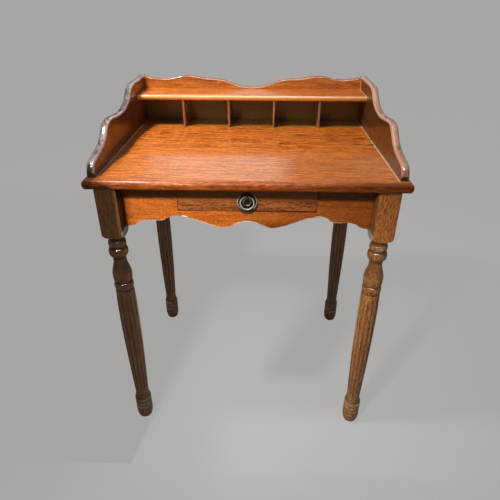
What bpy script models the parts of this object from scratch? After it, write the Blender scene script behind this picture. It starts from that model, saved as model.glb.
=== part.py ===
"""A small writing desk: a top board with a low serpentine gallery and five pigeonholes, one inset
drawer in a scalloped apron, and four turned and fluted legs.

Metres, +Z up. The origin is on the floor under the middle of the top board. +X is to the right,
and the front of the desk faces -Y.
"""
import math

import bmesh
import bpy
from mathutils import Matrix, Vector

# Fits between the pieces.
GLUE_GAP = 0.0003  # between faces that are glued, screwed together or rest on each other
GUIDE_GAP = 0.0010  # between a drawer side and its guide
CUT_OVERRUN = 0.0030  # how far a cutting solid runs past the face that it cuts

# The top board.
TOP_WIDTH = 0.686
TOP_DEPTH = 0.545
TOP_THICKNESS = 0.021
SURFACE_HEIGHT = 0.745  # floor to writing surface
TOP_NOSE = 0.009  # radius of the rounded edge all round
NOSE_LIMIT_SHARE = 0.46  # a rounding never takes more than this share of its board's thickness

# Where the legs stand under the top board.
OVERHANG_SIDE = 0.018
OVERHANG_FRONT = 0.0145
OVERHANG_BACK = 0.022

# The legs, turned from square stock that stays square at the top.
BLOCK_SIDE = 0.049
BLOCK_HEIGHT = 0.123  # underside of the top board to the turned part
BLOCK_EDGE_ROUND = 0.0020
POMMEL_HEIGHT = 0.012  # height of the turned shoulder at the square's corners
POMMEL_FLAT_SHARE = 0.86  # radius of the flat ring under the block, of half its side
TURNED_RADIUS = 0.0238  # the shaft at its thickest
TURNED_SIDES = 24
FLUTE_COUNT = 12
FLUTE_DEPTH = 0.0022
FLUTE_WIDTH_SHARE = 0.56  # of the distance from one flute to the next

# The turned part from the floor up. Heights are shares of its length, radii of its thickest radius.
FOOT_BOTTOM_SHARE = 0.62
FOOT_ROUND_SHARES = (0.050, 0.935)  # height and radius where the rounded bottom ends
FOOT_BEAD_SHARES = (0.060, 0.083, 0.106, 0.130)  # heights of the grooves between three fine rings
FOOT_BEAD_ROOT_SHARE = 0.860
FOOT_BEAD_CREST_SHARE = 0.930
ANKLE_SHARES = (0.158, 0.735)
BELLY_SHARES = (0.640, 1.000)  # the thickest place of the shaft
SHAFT_TOP_SHARES = (0.747, 0.930)
FLUTE_RUN_SHARES = (0.178, 0.205, 0.700, 0.726)  # where the flutes start, are full, fade and end
SHAFT_HEIGHT_SHARES = (0.178, 0.205, 0.330, 0.480, 0.640, 0.700, 0.726)
UPPER_RING_SHARES = (0.757, 0.790, 0.840, 0.960)  # bottom, top, root radius and crest radius
VASE_FOOT_SHARES = (0.797, 0.920)
VASE_BELLY_SHARES = (0.825, 0.965)
WAIST_SHARES = (0.893, 0.640)
BIG_BEAD_SHARES = (0.912, 0.948, 0.740, 0.940)
COLLAR_SHARES = (0.953, 0.979, 0.750, 0.860)
NECK_RADIUS_SHARE = 0.740

# The aprons, set back flush with the inside of the leg blocks.
APRON_THICKNESS = 0.018
APRON_HEIGHT = 0.105
TENON_THICKNESS = 0.008
TENON_SETBACK = 0.002  # behind the apron's outer face
TENON_SHOULDER = 0.012  # above and below the tenon

# The lower edge of the front apron from its middle outwards: place along half its length, and
# height as a share of the apron's height.
FRONT_SCALLOP_SHARES = (
    (0.000, 0.138), (0.065, 0.107), (0.130, 0.034), (0.210, 0.000), (0.290, 0.041), (0.380, 0.129),
    (0.482, 0.224), (0.562, 0.263), (0.630, 0.238), (0.685, 0.162), (0.743, 0.143), (0.819, 0.152),
    (0.880, 0.114), (0.920, 0.043), (0.960, 0.014), (1.000, 0.010))
SIDE_SCALLOP_SHARES = (
    (0.000, 0.263), (0.300, 0.268), (0.480, 0.255), (0.600, 0.190), (0.680, 0.148), (0.780, 0.152),
    (0.860, 0.114), (0.920, 0.043), (0.960, 0.014), (1.000, 0.010))

# The corner blocks glued inside the frame.
CORNER_BLOCK_SIDE = 0.056
CORNER_BLOCK_HEIGHT = 0.034
CORNER_BLOCK_CLIP = 0.010  # taken off its two sharp corners
CORNER_SCREW_INSET = 0.017  # screw to each apron's inner face

# The gallery: two sides and a back that stand on the top board.
GALLERY_THICKNESS = 0.017
GALLERY_HEIGHT = 0.122
GALLERY_INSET_SIDE = 0.009  # behind the top board's side edges
GALLERY_INSET_FRONT = 0.020
GALLERY_INSET_BACK = 0.007
GALLERY_EDGE_ROUND = 0.0050
GALLERY_REBATE = 0.006  # how far the back is let into the sides

# The upper edge of a gallery side from its foot backwards: shares of its length and height.
SIDE_GALLERY_SHARES = (
    (0.000, 0.100), (0.010, 0.200), (0.035, 0.262), (0.100, 0.315), (0.165, 0.385), (0.210, 0.490),
    (0.245, 0.615), (0.285, 0.680), (0.345, 0.677), (0.440, 0.634), (0.530, 0.645), (0.610, 0.730),
    (0.655, 0.840), (0.690, 0.940), (0.730, 0.988), (0.840, 0.996), (1.000, 1.000))
# The upper edge of the gallery's back from its middle outwards: shares of half its clear width
# and of the gallery's height.
BACK_GALLERY_SHARES = (
    (0.000, 0.758), (0.095, 0.776), (0.190, 0.845), (0.268, 0.915), (0.347, 0.945), (0.441, 0.955),
    (0.520, 0.993), (0.590, 1.010), (0.662, 0.994), (0.740, 0.950), (0.835, 0.932), (0.930, 0.954),
    (1.000, 0.985))
CURVE_STEPS = 2  # straight pieces between two points of a curved edge

# The shelf over the pigeonholes and the dividers under it.
SHELF_RISE = 0.0875  # its upper face above the writing surface
SHELF_THICKNESS = 0.0140
SHELF_DEPTH = 0.100
SHELF_HOUSING = 0.005  # how far its ends are let into the gallery sides
SHELF_NOTCH = 0.012  # from its front edge back to the let-in ends
PIGEONHOLE_COUNT = 5
DIVIDER_THICKNESS = 0.006
DIVIDER_SETBACK = 0.003  # behind the shelf's front edge
DIVIDER_GROOVE = 0.004  # how deep the dividers are let into the shelf

# The drawer.
DRAWER_OPENING_WIDTH = 0.309
DRAWER_OPENING_HEIGHT = 0.0655
DRAWER_REVEAL = 0.0015  # gap seen at the sides of the drawer front and under it
DRAWER_HEADROOM = 0.002  # gap over the drawer front
DRAWER_FRONT_THICKNESS = 0.018
DRAWER_REAR_ROOM = 0.0535  # behind the drawer, up to the back apron
DRAWER_SIDE_THICKNESS = 0.010
DRAWER_SIDE_STEP = 0.004  # the sides are this much lower than the front
DRAWER_LIP = 0.007  # what stays of the front before the ends of the sides
DRAWER_BACK_THICKNESS = 0.010
DRAWER_BOTTOM_THICKNESS = 0.004
DRAWER_BOTTOM_RISE = 0.007  # groove above the lower edge of the sides
DRAWER_GROOVE = 0.005  # depth of the groove that holds the bottom
DRAWER_EDGE_ROUND = 0.0010

# The runners that carry the drawer and the stops behind it.
RUNNER_SHELF_WIDTH = 0.016  # under the drawer side
RUNNER_THICKNESS = 0.011
GUIDE_WIDTH = 0.012
GUIDE_HEIGHT = 0.010
STOP_LENGTH = 0.020
STOP_HEIGHT = 0.010

# The ring pull.
PLATE_RADIUS = 0.0225
PLATE_RISE = 0.0235  # its centre above the lower edge of the drawer front
PLATE_HEIGHT = 0.0032  # the rim's height over the drawer front
PLATE_SIDES = 28
# The plate's face: shares of its radius and of its height, from the dish outwards.
PLATE_FLOOR_SHARE = 0.45  # height of the flat that the eye stands on
PLATE_HUB_SHARES = (0.10, 0.30)  # the middle of the dish
PLATE_FACE_SHARES = (
    (0.20, 0.34), (0.31, 0.55), (0.375, 0.88), (0.42, 0.80), (0.445, PLATE_FLOOR_SHARE),
    (0.80, PLATE_FLOOR_SHARE), (0.865, 0.78), (0.925, 1.00), (0.98, 0.72), (1.00, 0.20))
RING_RADIUS = 0.0151  # centre line of the ring
RING_WIRE_RADIUS = 0.0017
RING_SIDES = 28
RING_WIRE_SIDES = 8
RING_DROP = 0.0010  # the ring's centre under the plate's centre
RING_STANDOFF = 0.0052  # centre of the wire before the drawer front
RING_CLEARANCE = 0.0004  # round the wire, in the eye
EYE_WALL = 0.0012  # metal round the hole for the wire
EYE_NECK_SHARE = 0.86  # radius of the eye's neck, of the eye's
EYE_SHANK_RADIUS = 0.0019
NUT_WIDTH = 0.0070  # across its flats
NUT_THICKNESS = 0.0030
NUT_SIDES = 6
SHANK_END = 0.0015  # how far the shank stands out of the nut

# The wood screws.
SCREW_HEAD_RADIUS = 0.0042
SCREW_HEAD_HEIGHT = 0.0025
SCREW_SHANK_RADIUS = 0.0020
SCREW_POINT = 0.0040
SCREW_SIDES = 10
TOP_SCREW_BITE = 0.013  # how deep a corner block's screw goes into the top board
GALLERY_SCREW_BITE = 0.020
GALLERY_SCREW_SINK = 0.004  # the head's depth in the underside of the top board
SIDE_GALLERY_SCREW_SHARES = (0.30, 0.72)  # places along the gallery side
BACK_GALLERY_SCREW_SHARE = 0.50  # place along half the gallery's back

# How finely the rounded places are drawn.
ARC_PROFILE_SHARE = 0.5  # the setting that makes a rounded edge's section an arc
NOSE_FACE_COUNT = 3  # across a rounded front edge
RIM_FACE_COUNT = 2  # across a gallery's rounded upper edge
SHOULDER_STEPS = 3  # up a quarter round on a leg
EYE_STEPS = 4  # over the eye's round head
SHARP_ANGLE = math.radians(32)  # smooth shading breaks where faces meet more sharply

# Places that follow from the sizes above.
UNDERSIDE = SURFACE_HEIGHT - TOP_THICKNESS
TURNED_LENGTH = UNDERSIDE - BLOCK_HEIGHT
LEG_X = TOP_WIDTH / 2 - OVERHANG_SIDE - BLOCK_SIDE / 2
LEG_FRONT_Y = -TOP_DEPTH / 2 + OVERHANG_FRONT + BLOCK_SIDE / 2
LEG_BACK_Y = TOP_DEPTH / 2 - OVERHANG_BACK - BLOCK_SIDE / 2
FRAME_INNER_X = LEG_X - BLOCK_SIDE / 2
FRAME_FRONT_Y = LEG_FRONT_Y + BLOCK_SIDE / 2
FRAME_BACK_Y = LEG_BACK_Y - BLOCK_SIDE / 2
APRON_FACE_Y = FRAME_FRONT_Y - APRON_THICKNESS
APRON_BOTTOM = UNDERSIDE - GLUE_GAP - APRON_HEIGHT
TENON_FAR = APRON_THICKNESS - TENON_SETBACK  # reach of the tenon's outer side into the block
TENON_NEAR = TENON_FAR - TENON_THICKNESS
GALLERY_INNER_X = TOP_WIDTH / 2 - GALLERY_INSET_SIDE - GALLERY_THICKNESS
GALLERY_FRONT_Y = -TOP_DEPTH / 2 + GALLERY_INSET_FRONT
GALLERY_REAR_Y = TOP_DEPTH / 2 - GALLERY_INSET_BACK
GALLERY_BACK_FACE_Y = GALLERY_REAR_Y - GALLERY_THICKNESS
GALLERY_BASE = SURFACE_HEIGHT + GLUE_GAP
SHELF_TOP = SURFACE_HEIGHT + SHELF_RISE
SHELF_BOTTOM = SHELF_TOP - SHELF_THICKNESS
SHELF_FRONT_Y = GALLERY_BACK_FACE_Y - SHELF_DEPTH
OPENING_BOTTOM = UNDERSIDE - DRAWER_OPENING_HEIGHT
DRAWER_WIDTH = DRAWER_OPENING_WIDTH - 2 * DRAWER_REVEAL
DRAWER_BASE = OPENING_BOTTOM + DRAWER_REVEAL
DRAWER_HEIGHT = DRAWER_OPENING_HEIGHT - DRAWER_REVEAL - DRAWER_HEADROOM
DRAWER_FACE_Y = FRAME_FRONT_Y - DRAWER_FRONT_THICKNESS
DRAWER_REAR_Y = FRAME_BACK_Y - DRAWER_REAR_ROOM
DRAWER_INNER_X = DRAWER_WIDTH / 2 - DRAWER_SIDE_THICKNESS
SIDE_HEIGHT = DRAWER_HEIGHT - DRAWER_SIDE_STEP
RUNNER_TOP = DRAWER_BASE - GLUE_GAP
PULL_Z = DRAWER_BASE + PLATE_RISE
RING_Z = PULL_Z - RING_DROP
EYE_Z = RING_Z + RING_RADIUS
EYE_HOLE_RADIUS = RING_WIRE_RADIUS + RING_CLEARANCE
EYE_RADIUS = EYE_HOLE_RADIUS + EYE_WALL
SHANK_LENGTH = DRAWER_FRONT_THICKNESS + NUT_THICKNESS + SHANK_END

# Colour, roughness and metallic value of each finish.
FINISHES = {
    "top_wood": ((0.65, 0.17, 0.020), 0.35, 0.0),
    "frame_wood": ((0.62, 0.145, 0.018), 0.38, 0.0),
    "leg_wood": ((0.42, 0.17, 0.045), 0.40, 0.0),
    "inner_wood": ((0.45, 0.27, 0.13), 0.65, 0.0),
    "panel_board": ((0.38, 0.22, 0.11), 0.60, 0.0),
    "old_brass": ((0.16, 0.13, 0.09), 0.35, 0.9),
    "steel": ((0.45, 0.45, 0.46), 0.40, 1.0),
}


def clear_scene():
    """Removes whatever the scene holds."""
    for item in list(bpy.data.objects):
        bpy.data.objects.remove(item, do_unlink=True)


def finish_material(finish, name):
    """Gives a piece its own Principled material in one of the finishes."""
    colour, roughness, metallic = FINISHES[finish]
    material = bpy.data.materials.new(name)
    material.use_nodes = True
    shader = material.node_tree.nodes["Principled BSDF"]
    shader.inputs["Base Color"].default_value = (*colour, 1.0)
    shader.inputs["Roughness"].default_value = roughness
    shader.inputs["Metallic"].default_value = metallic
    material.diffuse_color = (*colour, 1.0)
    return material


def object_from(bm, name, finish=None, smooth=False):
    """Turns a bmesh into an object. Without a finish it is a cutting solid or a guide."""
    bmesh.ops.recalc_face_normals(bm, faces=bm.faces)
    mesh = bpy.data.meshes.new(name)
    bm.to_mesh(mesh)
    bm.free()
    if smooth:
        mesh.shade_smooth()
        mesh.set_sharp_from_angle(angle=SHARP_ANGLE)
    piece = bpy.data.objects.new(name, mesh)
    bpy.context.scene.collection.objects.link(piece)
    if finish:
        mesh.materials.append(finish_material(finish, name + "_finish"))
    else:
        piece.hide_render = True
        piece.display_type = "WIRE"
    return piece


def add_boolean(piece, tool, operation="DIFFERENCE"):
    """Cuts, joins or trims a piece with another solid."""
    modifier = piece.modifiers.new(tool.name, "BOOLEAN")
    modifier.operation = operation
    modifier.solver = "EXACT"
    modifier.object = tool


def round_edges(bm, edges, size, faces):
    """Rounds edges off to a given size, with that many faces across each."""
    bmesh.ops.bevel(bm, geom=edges, offset=size, segments=faces, profile=ARC_PROFILE_SHARE,
                    affect="EDGES", clamp_overlap=True)


def fill_box(bm, low, high):
    """Adds a box between two corners, given in any order."""
    centre = [(a + b) / 2 for a, b in zip(low, high)]
    size = [abs(b - a) for a, b in zip(low, high)]
    matrix = Matrix.Translation(centre) @ Matrix.Diagonal((*size, 1.0))
    return bmesh.ops.create_cube(bm, size=1.0, matrix=matrix)["verts"]


def box(name, low, high, finish=None, edge_round=0.0):
    """A box between two corners, with its edges eased where a rounding is given."""
    bm = bmesh.new()
    fill_box(bm, low, high)
    if edge_round:
        round_edges(bm, bm.edges[:], edge_round, 1)
    return object_from(bm, name, finish)


def prism(name, outline, start, end, frame, finish=None):
    """Extrudes a flat outline from start to end along the third axis of a frame matrix."""
    bm = bmesh.new()
    verts = [bm.verts.new((u, v, start)) for u, v in outline]
    face = bm.faces.new(verts)
    made = bmesh.ops.extrude_face_region(bm, geom=[face])["geom"]
    moved = [item for item in made if isinstance(item, bmesh.types.BMVert)]
    bmesh.ops.translate(bm, verts=moved, vec=(0.0, 0.0, end - start))
    bmesh.ops.transform(bm, verts=bm.verts[:], matrix=frame)
    return object_from(bm, name, finish)


def axes_frame(first, second, third):
    """The matrix whose columns are three axis directions."""
    return Matrix((first, second, third)).transposed().to_4x4()


# Frames for flat outlines: drawn in plan, in the desk's front view, and in its side view.
PLAN = axes_frame((1, 0, 0), (0, 1, 0), (0, 0, 1))
FRONT_VIEW = axes_frame((1, 0, 0), (0, 0, 1), (0, 1, 0))
SIDE_VIEW = axes_frame((0, 1, 0), (0, 0, 1), (1, 0, 0))


def smooth_curve(points):
    """A Catmull-Rom curve through the points, as short straight pieces."""
    curve = []
    last = len(points) - 1
    for index in range(last):
        before = Vector(points[max(index - 1, 0)])
        start = Vector(points[index])
        end = Vector(points[index + 1])
        after = Vector(points[min(index + 2, last)])
        for step in range(CURVE_STEPS):
            t = step / CURVE_STEPS
            bend = start + (end - before) * (t / 2)
            bend += (2 * before - 5 * start + 4 * end - after) * (t * t / 2)
            bend += (3 * start - before - 3 * end + after) * (t * t * t / 2)
            curve.append(tuple(bend))
    curve.append(tuple(points[last]))
    return curve


def scaled(shares, width, height):
    """Shares of a width and a height as lengths."""
    return [(u * width, v * height) for u, v in shares]


def mirrored_curve(shares, half_width, height):
    """A curve given from the middle outwards, drawn from its left end to its right end."""
    right = smooth_curve(scaled(shares, half_width, height))
    left = [(-u, v) for u, v in reversed(right[1:])]
    return left + right


def ring_loop(bm, radii, angles, height):
    """One closed loop of vertices round the Z axis."""
    return [bm.verts.new((r * math.cos(a), r * math.sin(a), height)) for r, a in zip(radii, angles)]


def even_angles(sides):
    """Angles at even steps round a circle."""
    return [2 * math.pi * side / sides for side in range(sides)]


def join_loops(bm, lower, upper):
    """Closes the wall between two loops, which may have unlike numbers of sides."""
    if len(lower) == len(upper):
        count = len(lower)
        for side in range(count):
            after = (side + 1) % count
            bm.faces.new((lower[side], lower[after], upper[after], upper[side]))
        return
    edges = []
    for loop in (lower, upper):
        for side, vert in enumerate(loop):
            after = loop[(side + 1) % len(loop)]
            edges.append(bm.edges.get((vert, after)) or bm.edges.new((vert, after)))
    bmesh.ops.bridge_loops(bm, edges=edges)


def turned(name, profile, sides, finish=None):
    """A solid turned round the Z axis. The profile holds radius and height from the bottom up."""
    bm = bmesh.new()
    angles = even_angles(sides)
    loops = [ring_loop(bm, [radius] * sides, angles, height) for radius, height in profile]
    for lower, upper in zip(loops, loops[1:]):
        join_loops(bm, lower, upper)
    bm.faces.new(loops[0])
    bm.faces.new(loops[-1])
    return object_from(bm, name, finish, smooth=True)


def bead(bottom, top, root, crest, steps):
    """Half an ellipse that stands out between two heights, without its two end points."""
    points = []
    for step in range(1, steps):
        turn = math.pi * step / steps
        height = bottom + (top - bottom) * (1 - math.cos(turn)) / 2
        points.append((root + (crest - root) * math.sin(turn), height))
    return points


def ease(start, end, steps):
    """Half a cosine wave from one (radius, height) point to another, without the start."""
    points = []
    for step in range(1, steps + 1):
        t = step / steps
        blend = (1 - math.cos(math.pi * t)) / 2
        points.append((start[0] + (end[0] - start[0]) * blend, start[1] + (end[1] - start[1]) * t))
    return points


def shaft_radius_share(height):
    """The shaft swells from the ankle in a quarter sine wave and draws in above its belly."""
    belly_height, belly_radius = BELLY_SHARES
    if height <= belly_height:
        low_height, low_radius = ANKLE_SHARES
    else:
        low_height, low_radius = SHAFT_TOP_SHARES
    along = (height - low_height) / (belly_height - low_height)
    return low_radius + (belly_radius - low_radius) * math.sin(math.pi / 2 * along)


def flute_strength(height):
    """How deep a flute is at a height share: none at its ends, full between its run-outs."""
    start, full, fade, end = FLUTE_RUN_SHARES
    rise = (height - start) / (full - start)
    fall = (end - height) / (end - fade)
    return max(0.0, min(1.0, rise, fall))


def foot_rows():
    """The rounded foot with its three fine rings, up to the ankle, as shares."""
    round_height, round_radius = FOOT_ROUND_SHARES
    rows = [(FOOT_BOTTOM_SHARE, 0.0)]
    for step in range(1, SHOULDER_STEPS + 1):
        turn = math.pi / 2 * step / SHOULDER_STEPS
        radius = FOOT_BOTTOM_SHARE + (round_radius - FOOT_BOTTOM_SHARE) * math.sin(turn)
        rows.append((radius, round_height * (1 - math.cos(turn))))
    rows.append((FOOT_BEAD_ROOT_SHARE, FOOT_BEAD_SHARES[0]))
    for bottom, top in zip(FOOT_BEAD_SHARES, FOOT_BEAD_SHARES[1:]):
        rows += bead(bottom, top, FOOT_BEAD_ROOT_SHARE, FOOT_BEAD_CREST_SHARE, 2)
        rows.append((FOOT_BEAD_ROOT_SHARE, top))
    rows.append((ANKLE_SHARES[1], ANKLE_SHARES[0]))
    return rows


def baluster_rows():
    """The rings, vase and beads between the shaft and the block, as shares."""
    rows = [(SHAFT_TOP_SHARES[1], SHAFT_TOP_SHARES[0])]
    bottom, top, root, crest = UPPER_RING_SHARES
    rows.append((root, bottom))
    rows += bead(bottom, top, root, crest, 3)
    rows.append((root, top))
    rows.append((VASE_FOOT_SHARES[1], VASE_FOOT_SHARES[0]))
    belly = (VASE_BELLY_SHARES[1], VASE_BELLY_SHARES[0])
    waist = (WAIST_SHARES[1], WAIST_SHARES[0])
    rows.append(belly)
    rows += ease(belly, waist, 4)
    for bottom, top, root, crest in (BIG_BEAD_SHARES, COLLAR_SHARES):
        rows.append((root, bottom))
        rows += bead(bottom, top, root, crest, 3)
        rows.append((root, top))
    rows.append((NECK_RADIUS_SHARE, 1.0))
    return rows


def pommel_rows():
    """The shoulder where the square begins, and the round blank above it, in metres."""
    flat_radius = POMMEL_FLAT_SHARE * BLOCK_SIDE / 2
    corner_radius = BLOCK_SIDE / 2 * math.sqrt(2)
    blank_radius = corner_radius + CUT_OVERRUN
    rows = [(flat_radius, TURNED_LENGTH)]
    for step in range(1, SHOULDER_STEPS + 1):
        turn = math.pi / 2 * step / SHOULDER_STEPS
        radius = flat_radius + (corner_radius - flat_radius) * math.sin(turn)
        rows.append((radius, TURNED_LENGTH + POMMEL_HEIGHT * (1 - math.cos(turn))))
    rows.append((blank_radius, TURNED_LENGTH + POMMEL_HEIGHT))
    rows.append((blank_radius, UNDERSIDE - GLUE_GAP))
    return rows


def fluted_loop(bm, height_share):
    """A loop of the shaft: each flute has its bottom and two edges, and the lands stay round."""
    radius = TURNED_RADIUS * shaft_radius_share(height_share)
    depth = FLUTE_DEPTH * flute_strength(height_share)
    pitch = 2 * math.pi / FLUTE_COUNT
    half_width = pitch * FLUTE_WIDTH_SHARE / 2
    radii = []
    angles = []
    for flute in range(FLUTE_COUNT):
        middle = pitch * flute + pitch / 2
        radii += [radius, radius - depth, radius]
        angles += [middle - half_width, middle, middle + half_width]
    return ring_loop(bm, radii, angles, TURNED_LENGTH * height_share)


def leg_blank():
    """The whole turning: foot, fluted shaft, baluster, and a round blank where the block will be."""
    bm = bmesh.new()
    angles = even_angles(TURNED_SIDES)

    def plain_loop(radius, height):
        return ring_loop(bm, [radius] * TURNED_SIDES, angles, height)

    foot = [plain_loop(r * TURNED_RADIUS, h * TURNED_LENGTH) for r, h in foot_rows()]
    shaft = [fluted_loop(bm, height_share) for height_share in SHAFT_HEIGHT_SHARES]
    baluster = [plain_loop(r * TURNED_RADIUS, h * TURNED_LENGTH) for r, h in baluster_rows()]
    shoulder = [plain_loop(r, h) for r, h in pommel_rows()]
    loops = foot + shaft + baluster + shoulder
    for lower, upper in zip(loops, loops[1:]):
        join_loops(bm, lower, upper)
    bm.faces.new(loops[0])
    bm.faces.new(loops[-1])
    bmesh.ops.recalc_face_normals(bm, faces=bm.faces)
    mesh = bpy.data.meshes.new("leg_blank")
    bm.to_mesh(mesh)
    bm.free()
    mesh.shade_smooth()
    mesh.set_sharp_from_angle(angle=SHARP_ANGLE)
    return mesh


def square_stock(name):
    """The square that trims the round blank down to the leg's block."""
    half = BLOCK_SIDE / 2
    bm = bmesh.new()
    fill_box(bm, (-half, -half, -CUT_OVERRUN), (half, half, UNDERSIDE + CUT_OVERRUN))
    upright = [edge for edge in bm.edges if edge.verts[0].co.xy == edge.verts[1].co.xy]
    round_edges(bm, upright, BLOCK_EDGE_ROUND, 1)
    return object_from(bm, name)


def mortises(side, row):
    """The cutting solids for a leg's two mortises, in the leg's own frame.

    side is -1 on the left and 1 on the right, row is -1 at the front and 1 at the back.
    """
    inner = -BLOCK_SIDE / 2
    start = inner - CUT_OVERRUN
    reach = inner + TENON_FAR + GLUE_GAP
    near = inner + TENON_NEAR - GLUE_GAP
    bottom = APRON_BOTTOM + TENON_SHOULDER - GLUE_GAP
    top = APRON_BOTTOM + APRON_HEIGHT - TENON_SHOULDER + GLUE_GAP
    end = "left" if side < 0 else "right"
    place = "front" if row < 0 else "back"
    far_corner = (side * reach, row * reach, top)
    along_x = box(f"mortise_x_{place}_{end}", (side * start, row * near, bottom), far_corner)
    along_y = box(f"mortise_y_{place}_{end}", (side * near, row * start, bottom), far_corner)
    return [along_x, along_y]


def legs():
    """Four turned legs. Each is trimmed square at the top and mortised for two aprons."""
    blank = leg_blank()
    for row, place, y in ((-1, "front", LEG_FRONT_Y), (1, "back", LEG_BACK_Y)):
        for side, end in ((-1, "left"), (1, "right")):
            name = f"leg_{place}_{end}"
            mesh = blank.copy()
            mesh.materials.append(finish_material("leg_wood", name + "_finish"))
            leg = bpy.data.objects.new(name, mesh)
            bpy.context.scene.collection.objects.link(leg)
            corner = Vector((side * LEG_X, y, 0.0))
            leg.location = corner
            stock = square_stock(f"square_stock_{place}_{end}")
            stock.location = corner
            add_boolean(leg, stock, "INTERSECT")
            for cutter in mortises(side, row):
                cutter.location = corner
                add_boolean(leg, cutter)


def tenon(name, length, side):
    """One tenon of an apron in the apron's own frame, its end mitred to meet its neighbour's."""
    shoulder = length / 2
    near = shoulder + TENON_NEAR - GLUE_GAP
    far = shoulder + TENON_FAR - GLUE_GAP
    start = shoulder - CUT_OVERRUN
    outer = TENON_SETBACK
    inner = TENON_SETBACK + TENON_THICKNESS
    outline = [(start, outer), (far, outer), (near, inner), (start, inner)]
    placed = [(side * u, v) for u, v in outline]
    return prism(name, placed, TENON_SHOULDER, APRON_HEIGHT - TENON_SHOULDER, PLAN)


def apron(name, length, lower_edge, upper_edge, location, turn):
    """A board between two legs with a tenon at each end.

    In its own frame it runs along X, its outer face lies at y = 0 and it stands on z = 0.
    """
    outline = lower_edge + upper_edge
    piece = prism(name, outline, 0.0, APRON_THICKNESS, FRONT_VIEW, "frame_wood")
    piece.location = location
    piece.rotation_euler = (0.0, 0.0, turn)
    for side, end in ((-1, "left"), (1, "right")):
        tongue = tenon(f"{name}_tenon_{end}", length, side)
        tongue.location = location
        tongue.rotation_euler = (0.0, 0.0, turn)
        add_boolean(piece, tongue, "UNION")
    return piece


def aprons():
    """The front apron has the drawer's opening. The others have a plain upper edge."""
    front_length = 2 * (FRAME_INNER_X - GLUE_GAP)
    side_length = FRAME_BACK_Y - FRAME_FRONT_Y - 2 * GLUE_GAP
    side_middle = (FRAME_BACK_Y + FRAME_FRONT_Y) / 2
    half = front_length / 2
    opening = DRAWER_OPENING_WIDTH / 2
    sill = OPENING_BOTTOM - APRON_BOTTOM
    front_top = [(half, APRON_HEIGHT), (opening, APRON_HEIGHT), (opening, sill),
                 (-opening, sill), (-opening, APRON_HEIGHT), (-half, APRON_HEIGHT)]
    front_bottom = mirrored_curve(FRONT_SCALLOP_SHARES, half, APRON_HEIGHT)
    front_place = (0.0, APRON_FACE_Y, APRON_BOTTOM)
    apron("front_apron", front_length, front_bottom, front_top, front_place, 0.0)
    back_bottom = [(-half, 0.0), (half, 0.0)]
    back_top = [(half, APRON_HEIGHT), (-half, APRON_HEIGHT)]
    back_place = (0.0, FRAME_BACK_Y + APRON_THICKNESS, APRON_BOTTOM)
    apron("back_apron", front_length, back_bottom, back_top, back_place, math.pi)
    side_bottom = mirrored_curve(SIDE_SCALLOP_SHARES, side_length / 2, APRON_HEIGHT)
    side_top = [(side_length / 2, APRON_HEIGHT), (-side_length / 2, APRON_HEIGHT)]
    for side, end in ((-1, "left"), (1, "right")):
        side_place = (side * (FRAME_INNER_X + APRON_THICKNESS), side_middle, APRON_BOTTOM)
        apron(f"{end}_apron", side_length, side_bottom, side_top, side_place, side * math.pi / 2)


def screw_profile(length, extra):
    """Head, shank and point of a wood screw from its head up, grown by extra for its hole."""
    head = SCREW_HEAD_RADIUS + extra
    shank = SCREW_SHANK_RADIUS + extra
    return [(head, -SCREW_HEAD_HEIGHT - extra), (head, extra), (shank, extra),
            (shank, length - SCREW_POINT), (shank / 2, length + extra)]


def screw(name, place, length, pieces):
    """A wood screw that stands upright with its head at the bottom, and its hole in the pieces."""
    body = turned(name, screw_profile(length, 0.0), SCREW_SIDES, "steel")
    body.location = place
    hole = turned(name + "_hole", screw_profile(length, GLUE_GAP), SCREW_SIDES)
    hole.location = place
    for piece in pieces:
        add_boolean(piece, hole)


def corner_blocks(top_board):
    """Four three-sided blocks glued into the frame's corners, each with a screw into the top."""
    low = UNDERSIDE - GLUE_GAP - CORNER_BLOCK_HEIGHT
    high = UNDERSIDE - GLUE_GAP
    side_length = CORNER_BLOCK_SIDE
    clipped = side_length - CORNER_BLOCK_CLIP
    outline = [(0.0, 0.0), (clipped, 0.0), (clipped, CORNER_BLOCK_CLIP),
               (CORNER_BLOCK_CLIP, clipped), (0.0, clipped)]
    for row, place, face_y in ((-1, "front", FRAME_FRONT_Y), (1, "back", FRAME_BACK_Y)):
        for side, end in ((-1, "left"), (1, "right")):
            corner_x = side * (FRAME_INNER_X - GLUE_GAP)
            corner_y = face_y - row * GLUE_GAP
            placed = [(corner_x - side * u, corner_y - row * v) for u, v in outline]
            block = prism(f"corner_block_{place}_{end}", placed, low, high, PLAN, "inner_wood")
            screw_x = corner_x - side * CORNER_SCREW_INSET
            screw_y = corner_y - row * CORNER_SCREW_INSET
            length = CORNER_BLOCK_HEIGHT + TOP_SCREW_BITE
            spot = (screw_x, screw_y, low - GLUE_GAP)
            screw(f"top_screw_{place}_{end}", spot, length, [block, top_board])


def top():
    """The top board, rounded on all its edges."""
    half_x = TOP_WIDTH / 2
    half_y = TOP_DEPTH / 2
    bm = bmesh.new()
    fill_box(bm, (-half_x, -half_y, UNDERSIDE), (half_x, half_y, SURFACE_HEIGHT))
    nose = min(TOP_NOSE, NOSE_LIMIT_SHARE * TOP_THICKNESS)
    round_edges(bm, bm.edges[:], nose, NOSE_FACE_COUNT)
    return object_from(bm, "top_board", "top_wood", smooth=True)


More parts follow.
